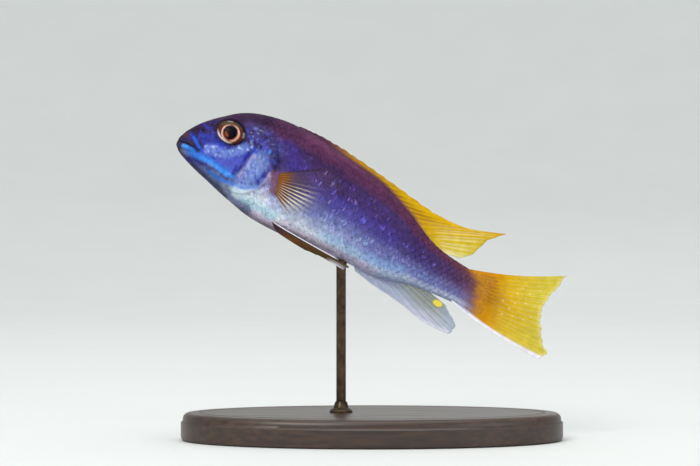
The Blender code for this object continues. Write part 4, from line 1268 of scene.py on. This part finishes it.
pelvic = {
    "rays": 6, "perRay": 12, "rows": 36, "rootThick": 1.1, "ray": (0.6, 0.2),
    "web": 0.16, "stiff": 1, "notch": (0.03, 0.04), "fork": 0.32, "blend": 5.0,
    "root": smoothLine([(34.9, -7.6), (36.8, -9.3)]),
    "edge": smoothLine([(56.2, 6.2, -8.7), (61.2, 5.2, -10.2), (55.0, 4.2, -10.3),
                        (46.6, 3.6, -10.7)]),
    "rise": 1.2, "gap": -0.3,
    "tone": "bark",
    "coats": [
        ("rust", 0.9, ("out", 0.58, 0.17, "band"), ("phase", 0.7, 1.5)),
        ("umber", 0.95, ("phase", 0.6, 0.34, "band"), ("out", 0.85, 0.55)),
        ("umber", 0.3, ("gaps",)),
        ("plum", 0.7, ("out", 0.54, 0.24), ("phase", 0.5, 1.1)),
        ("umber", 0.5, ("out", 0.54, 0.24), ("phase", 0.5, 1.1)),
        ("white", 1.0, ("out", 0.86, 0.93), ("phase", 1.7, 0.36, "band")),
        ("white", 1.0, ("phase", 0.34, 0.22), ("lead",))],
    "solid": (0.97, 0.25, ("gaps",), ("out", 0.3, 0.8)),
}


def pairedPlace(spec, side):              # of a fin that starts on the flank
    def placeOf(across, out):
        base, edge = pointsOn(spec["root"], across), pointsOn(spec["edge"], across)
        root = flankAt(base[:, 0], base[:, 1], side, spec["gap"])
        rise = flankAt(base[:, 0], base[:, 1], side, spec["gap"] + spec["rise"]) - root
        tip = np.stack([edge[:, 0], side * edge[:, 1], edge[:, 2]], -1)
        if "spread" in spec:              # its edge is drawn as seen from the side
            away = math.tan(math.radians(spec["spread"])) * (edge[:, 0] - base[:, 0])
            away = away + spec["rise"] / 2
            tip = np.stack([edge[:, 0], root[:, 1] + side * away, edge[:, 1]], -1)
        out = out[:, None]
        return root * (1 - out) ** 2 + (root + rise) * 2 * out * (1 - out) + tip * out**2
    return placeOf


def pectoralMeasures(along, height, across, out, off, ray, **_):
    fromRoot, _, _ = fromLine(pectoral["root"], along, height)
    low = ease((across - 0.22) / 0.36)    # the lower rays are pale, the upper ones smoky
    lead = ease((0.05 - across) / 0.03)   # the dark foremost ray
    firm = hump(np.abs(off) - 0.16 * ease((out - 0.5) / 0.4), 0.13 - 0.03 * out)
    vary = np.random.default_rng(19).uniform(0.45, 1.0, pectoral["rays"])[ray]
    measures = {"fromRoot": fromRoot, "low": low, "smoky": 1 - 0.6 * low, "lead": lead}
    rays = coated(plain(finTones["smoke"], out), finTones, pectoral["rayCoats"], measures)
    film = blendTo(plain(finTones["film"], out), finTones["rust"], 0.85 * ease((5.5 - fromRoot) / 4.0))
    measures["colours"] = blendTo(film, rays, firm)

    inner = ease((10.0 + 3.0 * low - fromRoot) / 8.0) * ease((1.0 - out) / 0.3)
    solid = 0.05 + 0.36 * ease((0.95 - out) / 0.6) + (0.02 + (0.2 + 0.6 * low) * inner * vary) * firm
    for other in ((0.92 - 0.2 * low) * ease((6.2 - fromRoot) / 5.6),
                  0.55 * lead * ease((17.0 - fromRoot) / 11.0), ease((0.08 - out) / 0.04)):
        solid = np.maximum(solid, other)
    measures["solid"] = np.clip(solid, 0.0, 1.0)
    return measures


def pelvicMeasures(out, **_):
    return {"lead": 0.4 + 0.6 * ease(out / 0.4)}


for side, word in ((-1, "left"), (1, "right")):
    makeFin(f"pectoral_rays_{word}", f"pectoral_fin_{word}", pectoral,
            pairedPlace(pectoral, side), pectoralMeasures, 13, side > 0)
    makeFin(f"pelvic_rays_{word}", f"pelvic_fin_{word}", pelvic,
            pairedPlace(pelvic, side), pelvicMeasures, 17, side > 0)


# Stand

stand = {
    "half": (55.0, 28.0),
    "profile": [(0.0, 1.0), (0.5, 0.2), (1.4, 0.0), (5.2, 0.0), (5.7, 0.5), (6.3, 0.6), (6.9, 0.7),
                (7.5, 1.1), (7.9, 1.8), (8.0, 2.6), (8.0, 5.0), (7.75, 5.25), (7.75, 5.6),
                (8.0, 5.85)],             # height and inset, from the bottom outward and up
    "sides": 192,
    "rodAlong": 57.2,
    "rodStart": 7.9,
    "rodIntoBelly": 0.4,
    "rodRadius": 1.4,
    "rodFlare": [(2.2, 0.0), (1.4, 0.25), (0.0, 0.7)],     # below the top, and how much wider
    "rodSides": 48,
    "collar": [(8.0, 3.3), (8.5, 3.3), (9.0, 2.9), (9.4, 2.2), (10.6, 1.9), (11.2, 1.55)],
    "sharpFrom": 35.0,                    # degrees between faces
}
plainLooks = {
    "darkWood": {"grain": (1.1, 5.0, (26, 1, 1)), "blend": (0.35, 0.65),
                 "tones": ("#2a1a12", "#4b3122"), "figure": (7.0, 3.0, (6, 1, 1)),
                 "figureBlend": (0.35, 0.7, 0.0, 0.55), "figureTone": "#1d120d",
                 "roughness": (0.34, 0.5), "bump": (0.25, 0.1),
                 "shader": {"Coat Weight": 0.25, "Coat Roughness": 0.25}},
    "darkBronze": {"grain": (2.0, 4.0), "blend": (0.35, 0.65), "tones": ("#3a3029", "#5a4a3a"),
                   "roughness": (0.3, 0.45), "shader": {"Metallic": 1.0}},
    "paleFloor": {"grain": (60.0, 3.0), "blend": (0.3, 0.7), "tones": ("#e0e2e1", "#e2e4e3"),
                  "shader": {"Roughness": 0.85}},
}


def plainFinish(name):                    # two tones in a grain, with a figure over them
    look = plainLooks[name]
    made, tree, shader = newMaterial(name)
    grain = noiseIn(tree, *look["grain"])["Fac"]
    colour = mixColour(tree, spread(tree, grain, *look["blend"], 0.0, 1.0),
                       *[colourOf(code) for code in look["tones"]])
    if "figure" in look:
        figure = noiseIn(tree, *look["figure"])["Fac"]
        colour = mixColour(tree, spread(tree, figure, *look["figureBlend"]), colour,
                           colourOf(look["figureTone"]))
    tree.links.new(colour, shader.inputs["Base Color"])
    if "roughness" in look:
        rough = spread(tree, grain, 0.3, 0.7, *look["roughness"])
        tree.links.new(rough, shader.inputs["Roughness"])
    if "bump" in look:
        addBump(tree, shader, grain, *look["bump"])
    setConstants(shader, look)
    return made


def ovalStack(steps, sides, centre):
    # A stack of ovals, each step extruded from the one below: height and size of each
    level, size = steps[0]
    shape = bmesh.new()
    bmesh.ops.create_circle(shape, cap_ends=True, segments=sides, radius=1.0)
    top = shape.faces[:][0]
    bmesh.ops.scale(shape, vec=(*size, 1.0), verts=shape.verts)
    bmesh.ops.translate(shape, vec=(0, 0, level), verts=shape.verts)
    for height, nextSize in steps[1:]:
        below = top
        raised = bmesh.ops.extrude_face_region(shape, geom=[below])["geom"]
        corners = [part for part in raised if isinstance(part, bmesh.types.BMVert)]
        top = [part for part in raised if isinstance(part, bmesh.types.BMFace)][0]
        bmesh.ops.scale(shape, vec=(nextSize[0] / size[0], nextSize[1] / size[1], 1.0),
                        verts=corners)
        bmesh.ops.translate(shape, vec=(0, 0, height - level), verts=corners)
        if level > steps[0][0]:           # only the lowest oval keeps its face
            bmesh.ops.delete(shape, geom=[below], context="FACES_ONLY")
        size, level = nextSize, height
    bmesh.ops.recalc_face_normals(shape, faces=shape.faces)
    bmesh.ops.translate(shape, vec=(*centre, 0.0), verts=shape.verts)
    bmesh.ops.scale(shape, vec=(millimetre,) * 3, verts=shape.verts)
    return shape


def makeStand():
    belly = bodySizes(np.array([stand["rodAlong"]]))[1][0]
    rodTop = fishToRoom @ Vector((stand["rodAlong"], 0.0, belly + stand["rodIntoBelly"]))
    x, top = rodTop.x / millimetre, rodTop.z / millimetre
    wide, deep = stand["half"]
    radius = stand["rodRadius"]
    base = [(level, (wide - inset, deep - inset)) for level, inset in stand["profile"]]
    rod = [(stand["rodStart"], (radius, radius))]
    rod += [(top - under, (radius + wider,) * 2) for under, wider in stand["rodFlare"]]
    collar = [(level, (size, size)) for level, size in stand["collar"]]
    wood, bronze = plainFinish("darkWood"), plainFinish("darkBronze")
    for name, steps, sides, centre, finish, slotName, nodes in (
            ("base_wood", base, stand["sides"], (0.0, 0.0), wood, "stand_wood", ["stand_base"]),
            ("rod_bronze", rod, stand["rodSides"], (x, 0.0), bronze, "stand_bronze", ["stand_rod"]),
            ("rod_collar", collar, stand["rodSides"], (x, 0.0), bronze, "stand_bronze", [])):
        mesh = meshFrom(name, ovalStack(steps, sides, centre))
        mesh.set_sharp_from_angle(angle=math.radians(stand["sharpFrom"]))
        newPiece(name, mesh, finish, nodes)
    print("stand made")


makeStand()


# Room, light and camera

room = {
    "reach": 1.0,                         # metres to where the backdrop curves up, all round
    "curve": 1.8,
    "bends": 14,
    "top": 3.0,
    "turns": 96,
    "frameWide": 201.5,                   # millimetres across the view at the fish
    "centre": (-6.3, 59.6),
    "distance": 620.0,
    "sensor": 36.0,
    "sky": (0.93, 0.95, 0.95, 1.0),
    "aim": (0, 0, 0.06),
    "lights": [                           # place, size, power and colour
        ("key", (-0.55, -1.0, 0.95), 0.7, 9.5, (1.0, 0.99, 0.97)),
        ("fill", (0.95, -0.9, 0.35), 0.9, 3.0, (0.97, 0.98, 1.0)),
        ("top", (0.1, -0.1, 1.25), 0.9, 3.0, (1.0, 1.0, 1.0)),
        ("back", (0.2, 1.2, 0.7), 0.9, 0.7, (1.0, 1.0, 1.0))],
}


def makeRoom():
    points = [(0.0, 0.0), (room["reach"], 0.0)]
    for step in range(1, room["bends"] + 1):
        angle = math.pi / 2 * step / room["bends"]
        points.append((room["reach"] + room["curve"] * math.sin(angle),
                       room["curve"] * (1 - math.cos(angle))))
    points.append((room["reach"] + room["curve"], room["top"]))
    shape = bmesh.new()
    corners = [shape.verts.new((x, 0.0, z)) for x, z in points]
    edges = [shape.edges.new(pair) for pair in zip(corners, corners[1:])]
    bmesh.ops.spin(shape, geom=corners + edges, axis=(0, 0, 1), cent=(0, 0, 0),
                   steps=room["turns"], angle=2 * math.pi, use_merge=True)
    bmesh.ops.remove_doubles(shape, verts=shape.verts, dist=0.0001)
    bmesh.ops.recalc_face_normals(shape, faces=shape.faces)
    bmesh.ops.reverse_faces(shape, faces=shape.faces)
    mesh = meshFrom("floor", shape)
    mesh.materials.append(plainFinish("paleFloor"))
    floor = newObject("floor", mesh)


makeRoom()
for name, spot, size, power, colour in room["lights"]:
    light = bpy.data.lights.new(name, "AREA")
    light.shape = "DISK"
    light.size = size
    light.energy = power
    light.color = colour
    lamp = newObject(name, light)
    lamp.location = spot
    lamp.rotation_euler = (Vector(room["aim"]) - Vector(spot)).to_track_quat("-Z", "Y").to_euler()

scene = bpy.context.scene
scene.view_settings.view_transform = "Standard"
world = bpy.data.worlds.new("studio")
world.use_nodes = True
world.node_tree.nodes["Background"].inputs["Color"].default_value = room["sky"]
world.node_tree.nodes["Background"].inputs["Strength"].default_value = 1.0
scene.world = world

camera = bpy.data.cameras.new("camera")
camera.sensor_width = room["sensor"]
camera.lens = room["sensor"] * room["distance"] / room["frameWide"]
viewer = newObject("camera", camera)
viewer.location = Vector((room["centre"][0], -room["distance"], room["centre"][1])) * millimetre
viewer.rotation_euler = (math.radians(90), 0.0, 0.0)
scene.camera = viewer

print("room, light and camera made")
